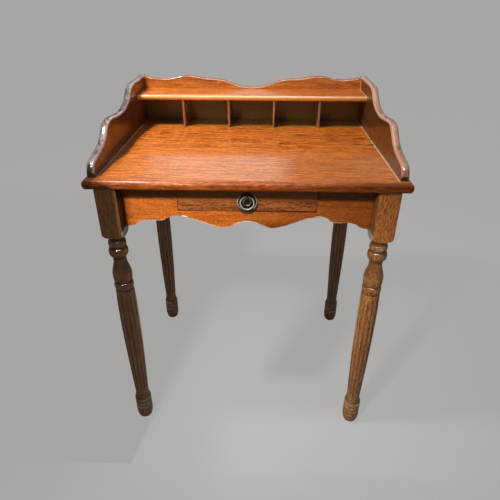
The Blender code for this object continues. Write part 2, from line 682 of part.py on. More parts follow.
def round_upper_rim(board, length_axis, square_ends):
    """Rounds a gallery board's curved upper edge on both faces, but not its base or square ends.

    length_axis is 0 for a board that runs along X and 1 for one that runs along Y.
    """
    thickness_axis = 1 - length_axis
    bm = bmesh.new()
    bm.from_mesh(board.data)
    rim = []
    for edge in bm.edges:
        first, second = (vert.co for vert in edge.verts)
        on_base = max(first.z, second.z) < GALLERY_BASE + GLUE_GAP
        from_ends = [max(abs(first[length_axis] - end), abs(second[length_axis] - end))
                     for end in square_ends]
        on_end = min(from_ends) < GLUE_GAP
        across = abs(first[thickness_axis] - second[thickness_axis]) > GLUE_GAP
        if not (on_base or on_end or across):
            rim.append(edge)
    rounding = min(GALLERY_EDGE_ROUND, NOSE_LIMIT_SHARE * GALLERY_THICKNESS)
    round_edges(bm, rim, rounding, RIM_FACE_COUNT)
    bmesh.ops.recalc_face_normals(bm, faces=bm.faces)
    bm.to_mesh(board.data)
    bm.free()
    board.data.shade_smooth()
    board.data.set_sharp_from_angle(angle=SHARP_ANGLE)


def gallery_screw(name, x, y, board, top_board):
    """A screw sunk into the top board from below, up into a gallery board."""
    length = TOP_THICKNESS - GALLERY_SCREW_SINK + GALLERY_SCREW_BITE
    screw(name, (x, y, UNDERSIDE + GALLERY_SCREW_SINK), length, [board, top_board])


def gallery_sides(top_board):
    """The two sides, each with a rebate for the back and a stopped housing for the shelf."""
    length = GALLERY_REAR_Y - GALLERY_FRONT_Y
    curve = smooth_curve(scaled(SIDE_GALLERY_SHARES, length, GALLERY_HEIGHT))
    outline = [(GALLERY_FRONT_Y + u, GALLERY_BASE + v) for u, v in curve]
    outline += [(GALLERY_REAR_Y, GALLERY_BASE), (GALLERY_FRONT_Y, GALLERY_BASE)]
    for side, end in ((-1, "left"), (1, "right")):
        inner = side * GALLERY_INNER_X
        outer = side * (GALLERY_INNER_X + GALLERY_THICKNESS)
        board = prism(f"side_gallery_{end}", outline, inner, outer, SIDE_VIEW, "frame_wood")
        round_upper_rim(board, 1, (GALLERY_REAR_Y,))
        cut_start = inner - side * CUT_OVERRUN
        rebate_floor = inner + side * (GALLERY_REBATE + GLUE_GAP)
        rebate_top = GALLERY_BASE + GALLERY_HEIGHT + CUT_OVERRUN
        rebate = box(f"back_rebate_{end}",
                     (cut_start, GALLERY_BACK_FACE_Y - GLUE_GAP, SURFACE_HEIGHT - CUT_OVERRUN),
                     (rebate_floor, GALLERY_REAR_Y + CUT_OVERRUN, rebate_top))
        add_boolean(board, rebate)
        housing_floor = inner + side * (SHELF_HOUSING + GLUE_GAP)
        housing = box(f"shelf_housing_{end}",
                      (cut_start, SHELF_FRONT_Y + SHELF_NOTCH - GLUE_GAP, SHELF_BOTTOM - GLUE_GAP),
                      (housing_floor, GALLERY_BACK_FACE_Y, SHELF_TOP + GLUE_GAP))
        add_boolean(board, housing)
        for number, share in enumerate(SIDE_GALLERY_SCREW_SHARES, start=1):
            gallery_screw(f"gallery_screw_{end}_{number}", (inner + outer) / 2,
                          GALLERY_FRONT_Y + share * length, board, top_board)


def gallery_back(top_board):
    """The back, let into the rebates of the two sides."""
    reach = GALLERY_INNER_X + GALLERY_REBATE
    curve = mirrored_curve(BACK_GALLERY_SHARES, GALLERY_INNER_X, GALLERY_HEIGHT)
    edge = [(u, GALLERY_BASE + v) for u, v in curve]
    end_height = edge[0][1]
    outline = [(-reach, end_height)] + edge
    outline += [(reach, end_height), (reach, GALLERY_BASE), (-reach, GALLERY_BASE)]
    board = prism("back_gallery", outline, GALLERY_BACK_FACE_Y, GALLERY_REAR_Y, FRONT_VIEW, "frame_wood")
    round_upper_rim(board, 0, (-reach, reach))
    middle_y = (GALLERY_BACK_FACE_Y + GALLERY_REAR_Y) / 2
    for side, end in ((-1, "left"), (1, "right")):
        screw_x = side * BACK_GALLERY_SCREW_SHARE * GALLERY_INNER_X
        gallery_screw(f"gallery_screw_back_{end}", screw_x, middle_y, board, top_board)


def divider_places():
    """The middles of the dividers, which part the clear width into equal pigeonholes."""
    pitch = 2 * GALLERY_INNER_X / PIGEONHOLE_COUNT
    return [-GALLERY_INNER_X + pitch * number for number in range(1, PIGEONHOLE_COUNT)]


def pigeonholes():
    """The shelf, let into the gallery sides, and the dividers, let into the shelf."""
    body = GALLERY_INNER_X - GLUE_GAP
    tongue = GALLERY_INNER_X + SHELF_HOUSING
    front = SHELF_FRONT_Y
    notch = SHELF_FRONT_Y + SHELF_NOTCH
    rear = GALLERY_BACK_FACE_Y - GLUE_GAP
    outline = [(-body, front), (body, front), (body, notch), (tongue, notch),
               (tongue, rear), (-tongue, rear), (-tongue, notch), (-body, notch)]
    shelf = prism("gallery_shelf", outline, SHELF_BOTTOM, SHELF_TOP, PLAN, "frame_wood")
    bm = bmesh.new()
    bm.from_mesh(shelf.data)
    nose_edges = [edge for edge in bm.edges
                  if all(abs(vert.co.y - front) < GLUE_GAP for vert in edge.verts)
                  and edge.verts[0].co.z == edge.verts[1].co.z]
    nose = NOSE_LIMIT_SHARE * SHELF_THICKNESS
    round_edges(bm, nose_edges, nose, NOSE_FACE_COUNT)
    bm.to_mesh(shelf.data)
    bm.free()
    shelf.data.shade_smooth()
    shelf.data.set_sharp_from_angle(angle=SHARP_ANGLE)
    divider_front = front + DIVIDER_SETBACK
    divider_top = SHELF_BOTTOM + DIVIDER_GROOVE - GLUE_GAP
    half = DIVIDER_THICKNESS / 2
    for number, middle in enumerate(divider_places(), start=1):
        groove = box(f"divider_groove_{number}",
                     (middle - half - GLUE_GAP, divider_front - GLUE_GAP, SHELF_BOTTOM - CUT_OVERRUN),
                     (middle + half + GLUE_GAP, rear + CUT_OVERRUN, SHELF_BOTTOM + DIVIDER_GROOVE))
        add_boolean(shelf, groove)
        box(f"pigeonhole_divider_{number}", (middle - half, divider_front, GALLERY_BASE),
            (middle + half, rear, divider_top), "frame_wood")


def drawer_front():
    """The inset front: lapped over the ends of the sides and grooved for the bottom."""
    half = DRAWER_WIDTH / 2
    front = box("drawer_front", (-half, DRAWER_FACE_Y, DRAWER_BASE),
                (half, FRAME_FRONT_Y, DRAWER_BASE + DRAWER_HEIGHT), "frame_wood", DRAWER_EDGE_ROUND)
    for side, end in ((-1, "left"), (1, "right")):
        lap_inner = side * (DRAWER_INNER_X - GLUE_GAP)
        lap_outer = side * (half + CUT_OVERRUN)
        lap = box(f"drawer_lap_{end}",
                  (lap_inner, DRAWER_FACE_Y + DRAWER_LIP, DRAWER_BASE - CUT_OVERRUN),
                  (lap_outer, FRAME_FRONT_Y + CUT_OVERRUN, DRAWER_BASE + DRAWER_HEIGHT + CUT_OVERRUN))
        add_boolean(front, lap)
    groove_bottom = DRAWER_BASE + DRAWER_BOTTOM_RISE
    groove_top = groove_bottom + DRAWER_BOTTOM_THICKNESS + 2 * GLUE_GAP
    groove = box("drawer_front_groove",
                 (-half, FRAME_FRONT_Y - DRAWER_GROOVE, groove_bottom),
                 (half, FRAME_FRONT_Y + CUT_OVERRUN, groove_top))
    add_boolean(front, groove)
    return front


def drawer_box():
    """Two grooved sides, the back between them and the bottom slid into the grooves."""
    outer = DRAWER_WIDTH / 2
    inner = DRAWER_INNER_X
    groove_x = inner + DRAWER_GROOVE
    base = DRAWER_BASE
    groove_bottom = base + DRAWER_BOTTOM_RISE
    groove_top = groove_bottom + DRAWER_BOTTOM_THICKNESS + 2 * GLUE_GAP
    side_top = base + SIDE_HEIGHT
    start = DRAWER_FACE_Y + DRAWER_LIP + GLUE_GAP
    for side, end in ((-1, "left"), (1, "right")):
        section = [(outer, base), (outer, side_top), (inner, side_top), (inner, groove_top),
                   (groove_x, groove_top), (groove_x, groove_bottom), (inner, groove_bottom), (inner, base)]
        placed = [(side * u, v) for u, v in section]
        prism(f"drawer_side_{end}", placed, start, DRAWER_REAR_Y, FRONT_VIEW, "inner_wood")
    panel_bottom = groove_bottom + GLUE_GAP
    panel_top = panel_bottom + DRAWER_BOTTOM_THICKNESS
    panel_x = groove_x - GLUE_GAP
    panel_front = FRAME_FRONT_Y - DRAWER_GROOVE + GLUE_GAP
    box("drawer_bottom", (-panel_x, panel_front, panel_bottom),
        (panel_x, DRAWER_REAR_Y, panel_top), "panel_board")
    back_x = inner - GLUE_GAP
    back_front = DRAWER_REAR_Y - DRAWER_BACK_THICKNESS
    box("drawer_back", (-back_x, back_front, panel_top + GLUE_GAP),
        (back_x, DRAWER_REAR_Y, side_top), "inner_wood")


def runners():
    """Two rails with a raised guide between the front and back aprons, and a stop on each."""
    front = FRAME_FRONT_Y + GLUE_GAP
    rear = FRAME_BACK_Y - GLUE_GAP
    bottom = RUNNER_TOP - RUNNER_THICKNESS
    guide_inner = DRAWER_WIDTH / 2 + GUIDE_GAP
    guide_outer = guide_inner + GUIDE_WIDTH
    shelf_inner = guide_inner - RUNNER_SHELF_WIDTH
    guide_top = RUNNER_TOP + GUIDE_HEIGHT
    stop_front = DRAWER_REAR_Y + GLUE_GAP
    stop_base = RUNNER_TOP + GLUE_GAP
    for side, end in ((-1, "left"), (1, "right")):
        section = [(shelf_inner, bottom), (guide_outer, bottom), (guide_outer, guide_top),
                   (guide_inner, guide_top), (guide_inner, RUNNER_TOP), (shelf_inner, RUNNER_TOP)]
        placed = [(side * u, v) for u, v in section]
        prism(f"drawer_runner_{end}", placed, front, rear, FRONT_VIEW, "inner_wood")
        stop_outer = side * (guide_inner - GLUE_GAP)
        box(f"drawer_stop_{end}", (side * shelf_inner, stop_front, stop_base),
            (stop_outer, stop_front + STOP_LENGTH, stop_base + STOP_HEIGHT), "inner_wood")


def facing_front(piece, z):
    """Lays a turned piece down on the middle of the drawer's face, its own +Z pointing out of it."""
    piece.rotation_euler = (math.pi / 2, 0.0, 0.0)
    piece.location = (0.0, DRAWER_FACE_Y, z)


def pull_plate():
    """A round plate with a raised rim, a dished middle and a flat ring between them."""
    edge_radius = PLATE_RADIUS * PLATE_FACE_SHARES[-1][0]
    hub_radius, hub_height = PLATE_HUB_SHARES
    profile = [(edge_radius, GLUE_GAP)]
    profile += scaled(reversed(PLATE_FACE_SHARES), PLATE_RADIUS, PLATE_HEIGHT)
    profile.append((PLATE_RADIUS * hub_radius, PLATE_HEIGHT * hub_height))
    plate = turned("pull_plate", profile, PLATE_SIDES, "old_brass")
    facing_front(plate, PULL_Z)
    return plate


def eye_bolt():
    """A round-headed bolt with a cross hole for the ring, in one piece with its shank."""
    seat = PLATE_HEIGHT * PLATE_FLOOR_SHARE + GLUE_GAP
    neck = EYE_RADIUS * EYE_NECK_SHARE
    neck_top = RING_STANDOFF - EYE_RADIUS * math.sqrt(1 - EYE_NECK_SHARE ** 2)
    profile = [(EYE_SHANK_RADIUS, -SHANK_LENGTH), (EYE_SHANK_RADIUS, seat), (neck, seat), (neck, neck_top)]
    for step in range(1, EYE_STEPS + 1):
        turn = math.pi / 2 * step / (EYE_STEPS + 1)
        profile.append((EYE_RADIUS * math.cos(turn), RING_STANDOFF + EYE_RADIUS * math.sin(turn)))
    bolt = turned("pull_eye_bolt", profile, TURNED_SIDES, "old_brass")
    facing_front(bolt, EYE_Z)
    reach = EYE_RADIUS + CUT_OVERRUN
    hole_profile = [(EYE_HOLE_RADIUS, -reach), (EYE_HOLE_RADIUS, reach)]
    hole = turned("eye_hole", hole_profile, TURNED_SIDES // 2)
    hole.rotation_euler = (0.0, math.pi / 2, 0.0)
    hole.location = (0.0, DRAWER_FACE_Y - RING_STANDOFF, EYE_Z)
    add_boolean(bolt, hole)


def pull_nut():
    """The six-sided nut behind the drawer front."""
    radius = NUT_WIDTH / 2 / math.cos(math.pi / NUT_SIDES)
    start = -DRAWER_FRONT_THICKNESS - NUT_THICKNESS
    end = -DRAWER_FRONT_THICKNESS - GLUE_GAP
    nut = turned("pull_nut", [(radius, start), (radius, end)], NUT_SIDES, "old_brass")
    facing_front(nut, EYE_Z)
    return nut


def pull(front):
    """The plate, the eye bolt that goes through it and the drawer front, its nut and the ring."""
    bore = EYE_SHANK_RADIUS + GLUE_GAP
    profile = [(bore, -SHANK_LENGTH), (bore, PLATE_HEIGHT + CUT_OVERRUN)]
    shank_hole = turned("shank_hole", profile, TURNED_SIDES)
    facing_front(shank_hole, EYE_Z)
    for piece in (front, pull_plate(), pull_nut()):
        add_boolean(piece, shank_hole)
    eye_bolt()
    ring = ring_pull()
    ring.location = (0.0, DRAWER_FACE_Y - RING_STANDOFF, EYE_Z)


def ring_pull():
    """The ring, with its origin on the axis that it swings on, at the top of its centre line."""
    bm = bmesh.new()
    loops = []
    for round_angle in even_angles(RING_SIDES):
        outward = Vector((math.sin(round_angle), 0.0, math.cos(round_angle)))
        middle = (outward - Vector((0.0, 0.0, 1.0))) * RING_RADIUS
        loop = []
        for wire_angle in even_angles(RING_WIRE_SIDES):
            offset = outward * math.cos(wire_angle) + Vector((0.0, math.sin(wire_angle), 0.0))
            loop.append(bm.verts.new(middle + offset * RING_WIRE_RADIUS))
        loops.append(loop)
    for index, loop in enumerate(loops):
        join_loops(bm, loop, loops[(index + 1) % len(loops)])
    return object_from(bm, "pull_ring", "old_brass", smooth=True)


def main():
    clear_scene()
    top_board = top()
    legs()
    aprons()
    corner_blocks(top_board)
    gallery_sides(top_board)
    gallery_back(top_board)
    pigeonholes()
    front = drawer_front()
    drawer_box()
    runners()
    pull(front)


main()
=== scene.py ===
"""The looks of a small writing desk: varnished wood, fluted legs and an old ring pull.

Every shape is a surface worked out with numpy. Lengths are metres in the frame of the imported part:
+X to the right, the desk's front faces -Y, +Z up, the floor at z = 0.
"""
import math

import bpy
import numpy as np
from mathutils import Matrix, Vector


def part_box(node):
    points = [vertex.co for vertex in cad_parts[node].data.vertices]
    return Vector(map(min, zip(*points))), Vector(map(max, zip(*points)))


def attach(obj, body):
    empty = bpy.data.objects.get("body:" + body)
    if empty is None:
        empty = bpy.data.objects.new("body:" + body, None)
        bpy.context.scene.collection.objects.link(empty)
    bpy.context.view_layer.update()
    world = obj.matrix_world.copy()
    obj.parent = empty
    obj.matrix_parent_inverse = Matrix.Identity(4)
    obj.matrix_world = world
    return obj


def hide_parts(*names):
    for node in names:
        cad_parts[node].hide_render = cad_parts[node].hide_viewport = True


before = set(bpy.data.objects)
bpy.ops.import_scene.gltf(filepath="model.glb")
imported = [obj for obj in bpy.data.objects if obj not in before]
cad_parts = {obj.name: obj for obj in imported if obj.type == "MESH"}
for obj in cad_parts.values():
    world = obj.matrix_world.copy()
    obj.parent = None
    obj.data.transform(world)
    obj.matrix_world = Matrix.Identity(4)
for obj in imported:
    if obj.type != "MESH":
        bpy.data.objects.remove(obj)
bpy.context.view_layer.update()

# Where a flat outline's two directions and its thickness point.
PLAN = ((1, 0, 0), (0, 1, 0), (0, 0, 1))
FRONT_VIEW = ((1, 0, 0), (0, 0, 1), (0, 1, 0))
SIDE_VIEW = ((0, 1, 0), (0, 0, 1), (1, 0, 0))

QUARTER = math.pi / 2
GLUE_GAP = 0.0003  # between pieces that are glued or rest on each other
ARRIS = 0.0012  # the eased edge of most boards
TIGHT_ARRIS = 0.0004  # where a board meets its neighbour
ARC_STEPS = 6  # faces across a board's rounded edge
CURVE_STEPS = 8  # straight pieces between two points of a curved edge
WEAR_FADE = 0.0020  # how far an edge's wear reaches into the face
SHARP_ANGLE = math.radians(35)


def new_object(name, data):
    """An object in the scene."""
    made = bpy.data.objects.new(name, data)
    bpy.context.scene.collection.objects.link(made)
    return made


def grid_faces(rows, columns, closed):
    """Corner numbers of a grid's four-sided faces.

    The last column meets the first one, and in a closed grid the last row meets the first row too.
    """
    row, column = np.meshgrid(np.arange(rows if closed else rows - 1), np.arange(columns), indexing="ij")
    here = row * columns
    above = (row + 1) % rows * columns
    beside = (column + 1) % columns
    return np.stack([here + column, here + beside, above + beside, above + column], axis=-1).reshape(-1, 4)


def volume(points, faces):
    """Six times the volume that the four-sided faces enclose, from the origin's pyramids."""
    a, b, c, d = (points[faces[:, corner]] for corner in range(4))
    return np.sum(np.cross(a, b) * c) + np.sum(np.cross(a, c) * d)


def make_piece(name, stands_for, points, marks, body="desk", closed=False):
    """Builds one piece from rings of points, one row for each ring, with a flat cap at either end.

    In a closed piece the last ring meets the first and there are no caps. The faces are turned so
    that the piece has a positive volume. marks holds one number for each point under a name, such
    as how much an edge is worn.
    """
    rows, columns = points.shape[:2]
    points = points.reshape(-1, 3)
    faces = grid_faces(rows, columns, closed)
    last = (rows - 1) * columns
    caps = [] if closed else [list(range(columns))[::-1], list(range(last, last + columns))]
    fans = [np.array([[cap[0], cap[k], cap[k + 1], cap[k + 1]] for k in range(1, columns - 1)])
            for cap in caps]
    loops = [list(face) for face in faces] + caps
    if volume(points - points.mean(axis=0), np.vstack([faces] + fans)) < 0:
        loops = [loop[::-1] for loop in loops]
    mesh = bpy.data.meshes.new(name)
    mesh.from_pydata(points.tolist(), [], loops)
    smooth = np.ones(len(loops), dtype=bool)
    smooth[len(faces):] = False
    mesh.polygons.foreach_set("use_smooth", smooth)
    mesh.set_sharp_from_angle(angle=SHARP_ANGLE)
    for mark, values in marks.items():
        layer = mesh.attributes.new(mark, "FLOAT", "POINT")
        layer.data.foreach_set("value", np.asarray(values, dtype=np.float32).ravel())
    piece = new_object(name, mesh)
    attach(piece, body)
    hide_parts(stands_for)
    return piece


def unit(vectors):
    """Each vector divided by its own length."""
    return vectors / np.linalg.norm(vectors, axis=-1, keepdims=True)


def there_and_back(values):
    """The values, and then the same values from last to first."""
    return np.concatenate([values, values[::-1]])


def inward_steps(outline):
    """For each corner of a closed outline, the step that moves both of its sides in by one unit.

    It is the sum of the two sides' inward directions over one plus their dot product. The outline
    runs anticlockwise.
    """
    to_here = unit(outline - np.roll(outline, 1, axis=0))
    from_here = unit(np.roll(outline, -1, axis=0) - outline)
    left_of_first = np.stack([-to_here[:, 1], to_here[:, 0]], axis=-1)
    left_of_second = np.stack([-from_here[:, 1], from_here[:, 0]], axis=-1)
    share = 1 + np.sum(left_of_first * left_of_second, axis=-1, keepdims=True)
    sharpest = 0.3  # keeps the step short at a very sharp corner
    return (left_of_first + left_of_second) / np.maximum(share, sharpest)


def board(name, stands_for, outline, low, high, rounding, axes, wear_fade=WEAR_FADE, body="desk"):
    """A board: a closed outline given a thickness, with every edge rounded by a quarter circle.

    At the angle a of the round, the outline has moved in by r (1 - sin a) and lies r (1 - cos a)
    from the face. The round may differ from corner to corner of the outline. One more ring inside
    the round ends the edge's wear.
    """
    outline = np.asarray(outline, dtype=float)
    rounding = np.broadcast_to(np.asarray(rounding, dtype=float), len(outline))
    area = np.sum(outline[:, 0] * np.roll(outline[:, 1], -1) - outline[:, 1] * np.roll(outline[:, 0], -1))
    if area < 0:
        outline = outline[::-1]
        rounding = rounding[::-1]
    loose = np.clip((rounding - TIGHT_ARRIS) / (ARRIS - TIGHT_ARRIS), 0.05, 1)
    turn = np.linspace(0, QUARTER, ARC_STEPS + 1)
    inset = np.concatenate([[1.0], 1 - np.sin(turn)])[:, None] * rounding
    inset[0] += loose * wear_fade
    rise = np.concatenate([[0.0], 1 - np.cos(turn)])[:, None] * rounding
    wear = np.concatenate([[0.0], 0.7 + 0.3 * np.sin(2 * turn)])
    flat = outline + inward_steps(outline) * there_and_back(inset)[..., None]
    level = np.concatenate([low + rise, high - rise[::-1]])
    points = np.dstack([flat, level]) @ np.array(axes, dtype=float)
    return make_piece(name, stands_for, points, {"edge_wear_and_highlight": there_and_back(wear)[:, None] * loose}, body)


def rectangle(low, high, corner=0.0, steps=4):
    """A rectangle between two corners, each corner a quarter circle if it has a radius."""
    if not corner:
        return np.array([low, (high[0], low[1]), high, (low[0], high[1])], dtype=float)
    turn = np.linspace(0, QUARTER, steps + 1)
    arc = np.stack([np.cos(turn), np.sin(turn)], axis=-1) * corner
    middles = ((high[0] - corner, high[1] - corner), (low[0] + corner, high[1] - corner),
               (low[0] + corner, low[1] + corner), (high[0] - corner, low[1] + corner))
    quarters = []
    for quarter, middle in enumerate(middles):
        cosine, sine = math.cos(quarter * QUARTER), math.sin(quarter * QUARTER)
        quarters.append(arc @ np.array(((cosine, sine), (-sine, cosine))) + np.array(middle))
    return np.concatenate(quarters)


def smooth_curve(points, steps):
    """A Catmull-Rom curve: between two points it blends them and their neighbours by cubics of t."""
    points = np.asarray(points, dtype=float)
    first = np.arange(len(points) - 1)
    before = points[np.maximum(first - 1, 0)][:, None]
    start = points[:-1][:, None]
    end = points[1:][:, None]
    after = points[np.minimum(first + 2, len(points) - 1)][:, None]
    t = (np.arange(steps) / steps)[None, :, None]
    curve = (start + (end - before) * t / 2 + (2 * before - 5 * start + 4 * end - after) * t ** 2 / 2
             + (3 * start - before - 3 * end + after) * t ** 3 / 2)
    return np.concatenate([curve.reshape(-1, points.shape[1]), points[-1:]])


def mirrored(shares, half_width, height):
    """A curve given in shares from the middle outwards, drawn from its left end to its right end."""
    right = smooth_curve(np.array(shares) * (half_width, height), CURVE_STEPS)
    return np.concatenate([right[:0:-1] * (-1, 1), right])


def eased_rounding(outline, curve_length, full):
    """Full rounding along the curve that comes first, tight rounding after it, eased at its ends."""
    ease_steps = 8
    rounding = np.full(len(outline), TIGHT_ARRIS)
    steps = np.arange(curve_length)
    share = np.clip(np.minimum(steps, steps[::-1]) / ease_steps, 0, 1)
    rounding[:curve_length] += (full - TIGHT_ARRIS) * share
    return rounding


# The desk's boards.

# Curved edges in shares of a board's length and height, a side's from front to back and the
# others from the middle outwards.
SIDE_GALLERY_SHARES = (
    (0.000, 0.100), (0.010, 0.200), (0.035, 0.262), (0.100, 0.315), (0.165, 0.385), (0.210, 0.490),
    (0.245, 0.615), (0.285, 0.680), (0.345, 0.677), (0.440, 0.634), (0.530, 0.645), (0.610, 0.730),
    (0.655, 0.840), (0.690, 0.940), (0.730, 0.988), (0.840, 0.996), (1.000, 1.000))
BACK_GALLERY_SHARES = (
    (0.000, 0.758), (0.095, 0.776), (0.190, 0.845), (0.268, 0.915), (0.347, 0.945), (0.441, 0.955),
    (0.520, 0.993), (0.590, 1.010), (0.662, 0.994), (0.740, 0.950), (0.835, 0.932), (0.930, 0.954),
    (1.000, 0.985))
FRONT_SCALLOP_SHARES = (
    (0.000, 0.138), (0.065, 0.107), (0.130, 0.034), (0.210, 0.000), (0.290, 0.041), (0.380, 0.129),
    (0.482, 0.224), (0.562, 0.263), (0.630, 0.238), (0.685, 0.162), (0.743, 0.143), (0.819, 0.152),
    (0.880, 0.114), (0.920, 0.043), (0.960, 0.014), (1.000, 0.010))
SIDE_SCALLOP_SHARES = (
    (0.000, 0.263), (0.300, 0.268), (0.480, 0.255), (0.600, 0.190), (0.680, 0.148), (0.780, 0.152),
    (0.860, 0.114), (0.920, 0.043), (0.960, 0.014), (1.000, 0.010))
SURFACE_LEVEL = 0.745  # the writing surface
TOP_NOSE = 0.0092  # radius of the top's rounded edge
TOP_NOSE_ROWS = 10
TOP_CORNER = 0.006
LEAST_CORNER = 0.0003
GALLERY_HEIGHT = 0.122
GALLERY_ROUND = 0.0055
GALLERY_FOOT_EASE = 0.02  # height over which a side's rounding grows to its full radius
GALLERY_BACK_EASE = 0.008
OUT_OF_PLANE = 0.0002  # keeps the back's rear face out of the plane of the sides' ends
SHELF_NOSE_SHARE = 0.46  # radius of the shelf's nose, of its thickness
SHELF_NOSE_ROWS = 9
DIVIDER_ROUND = 0.0010
APRON_THICKNESS = 0.018
APRON_WEAR_FADE = 0.0034
DRAWER_REVEAL = 0.0015
DRAWER_LIP = 0.007
DRAWER_SIDE_THICKNESS = 0.010
DRAWER_ROUND = 0.0011
GALLERY_INNER_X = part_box("side_gallery_right")[0].x
GALLERY_OUTER_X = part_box("side_gallery_right")[1].x
FRAME_INNER_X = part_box("leg_front_right")[0].x  # where the legs' square blocks end inwards


def top_board():
    """The top: a rectangle with small corners and a nose rounded from both faces.

    Row by row the rectangle draws in by r (1 - sin a) while its level rises by r (1 - cos a), and
    its own corners get as much smaller as it draws in.
    """
    low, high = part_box("top_board")
    turn = np.linspace(0, QUARTER, TOP_NOSE_ROWS)
    inset = there_and_back(TOP_NOSE * np.concatenate([[2.0], 1 - np.sin(turn)]))
    rise = TOP_NOSE * np.concatenate([[0.0], 1 - np.cos(turn)])
    wear = np.concatenate([[0.0], 0.3 + 0.7 * np.clip(turn / 0.5, 0, 1)])
    rings = np.array([rectangle((low.x + step, low.y + step), (high.x - step, high.y - step),
                                max(TOP_CORNER - step, LEAST_CORNER)) for step in inset])
    columns = rings.shape[1]
    level = np.concatenate([low.z + rise, high.z - rise[::-1]])
    points = np.dstack([rings, np.repeat(level[:, None], columns, axis=1)])
    marks = {"edge_wear_and_highlight": np.repeat(there_and_back(wear)[:, None], columns, axis=1)}
    return make_piece("desk_top", "top_board", points, marks)


def gallery_side(end):
    """A gallery side: a serpentine upper edge, well rounded, over a straight foot."""
    low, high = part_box(f"side_gallery_{end}")
    shares = np.array(SIDE_GALLERY_SHARES) * (high.y - low.y, GALLERY_HEIGHT)
    curve = smooth_curve(shares, CURVE_STEPS) + (low.y, low.z)
    outline = np.concatenate([curve, [(high.y, low.z), (low.y, low.z)]])
    rounding = np.full(len(outline), GALLERY_ROUND)
    rounding[-3:] = TIGHT_ARRIS
    rise = np.clip((curve[:, 1] - low.z) / GALLERY_FOOT_EASE, 0.15, 1)
    back = np.clip((high.y - curve[:, 0]) / GALLERY_BACK_EASE, 0.1, 1)
    rounding[:len(curve)] *= rise * back
    return board(f"gallery_side_{end}", f"side_gallery_{end}", outline, low.x, high.x, rounding, SIDE_VIEW)


def gallery_back():
    """The gallery's back, let into both sides."""
    low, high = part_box("back_gallery")
    curve = mirrored(BACK_GALLERY_SHARES, GALLERY_INNER_X, GALLERY_HEIGHT) + (0, low.z)
    ends = [(high.x, curve[-1, 1]), (high.x, low.z), (low.x, low.z), (low.x, curve[0, 1])]
    outline = np.concatenate([curve, ends])
    rounding = eased_rounding(outline, len(curve), GALLERY_ROUND)
    return board("gallery_rear", "back_gallery", outline, low.y, high.y + OUT_OF_PLANE, rounding, FRONT_VIEW)


def shelf():
    """The shelf: a straight section with a half-round nose, carried from side to side."""
    low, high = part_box("gallery_shelf")
    radius = SHELF_NOSE_SHARE * (high.z - low.z)
    turn = np.linspace(0, QUARTER, SHELF_NOSE_ROWS)
    over = np.stack([low.y + radius * (1 - np.sin(turn)), high.z - radius * (1 - np.cos(turn))], axis=-1)
    under = np.stack([low.y + radius * (1 - np.cos(turn)), low.z + radius * (1 - np.sin(turn))], axis=-1)
    outline = np.concatenate([over, under, [(high.y, low.z), (high.y, high.z)]])
    return board("pigeonhole_shelf", "gallery_shelf", outline, -GALLERY_INNER_X, GALLERY_INNER_X,
                 TIGHT_ARRIS / 2, SIDE_VIEW)


def divider(number):
    """A thin upright board, let into the shelf above it."""
    low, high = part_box(f"pigeonhole_divider_{number}")
    outline = rectangle((low.y, low.z), (high.y, high.z))
    return board(f"divider_{number}", f"pigeonhole_divider_{number}", outline, low.x, high.x,
                 DIVIDER_ROUND, SIDE_VIEW)


def front_apron():
    """The front apron: a scalloped lower edge and the drawer's opening in its upper edge."""
    low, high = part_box("front_apron")
    drawer_low, drawer_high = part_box("drawer_front")
    half = FRAME_INNER_X - GLUE_GAP
    opening = drawer_high.x + DRAWER_REVEAL
    sill = drawer_low.z - DRAWER_REVEAL
    scallop = mirrored(FRONT_SCALLOP_SHARES, half, high.z - low.z) + (0, low.z)
    rest = [(half, high.z), (opening, high.z), (opening, sill),
            (-opening, sill), (-opening, high.z), (-half, high.z)]
    outline = np.concatenate([scallop, rest])
    rounding = eased_rounding(outline, len(scallop), ARRIS)
    return board("apron_front", "front_apron", outline, low.y, low.y + APRON_THICKNESS, rounding,
                 FRONT_VIEW, APRON_WEAR_FADE)


def side_apron(side, end):
    """A side apron, with the end motif of the front one."""
    low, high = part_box(f"{end}_apron")
    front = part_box("leg_front_right")[1].y + GLUE_GAP
    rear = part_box("leg_back_right")[0].y - GLUE_GAP
    scallop = mirrored(SIDE_SCALLOP_SHARES, (rear - front) / 2, high.z - low.z)
    scallop += ((rear + front) / 2, low.z)
    outline = np.concatenate([scallop, [(rear, high.z), (front, high.z)]])
    rounding = eased_rounding(outline, len(scallop), ARRIS)
    near, far = sorted((side * FRAME_INNER_X, side * (FRAME_INNER_X + APRON_THICKNESS)))
    return board(f"apron_{end}", f"{end}_apron", outline, near, far, rounding, SIDE_VIEW)


def back_apron():
    """The plain apron at the back."""
    low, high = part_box("back_apron")
    half = FRAME_INNER_X - GLUE_GAP
    outline = rectangle((-half, low.z), (half, high.z))
    return board("apron_rear", "back_apron", outline, high.y - APRON_THICKNESS, high.y, ARRIS, FRONT_VIEW)


def drawer_face():
    """The drawer front, seen from above: full width at its lip, then narrower between the sides."""
    low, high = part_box("drawer_front")
    lip = low.y + DRAWER_LIP
    inner = high.x - DRAWER_SIDE_THICKNESS - GLUE_GAP
    outline = [(low.x, low.y), (high.x, low.y), (high.x, lip), (inner, lip),
               (inner, high.y), (-inner, high.y), (-inner, lip), (low.x, lip)]
    rounding = [DRAWER_ROUND] * 2 + [TIGHT_ARRIS] * 6
    return board("drawer_panel", "drawer_front", outline, low.z, high.z, rounding, PLAN, body="drawer")


# The legs.

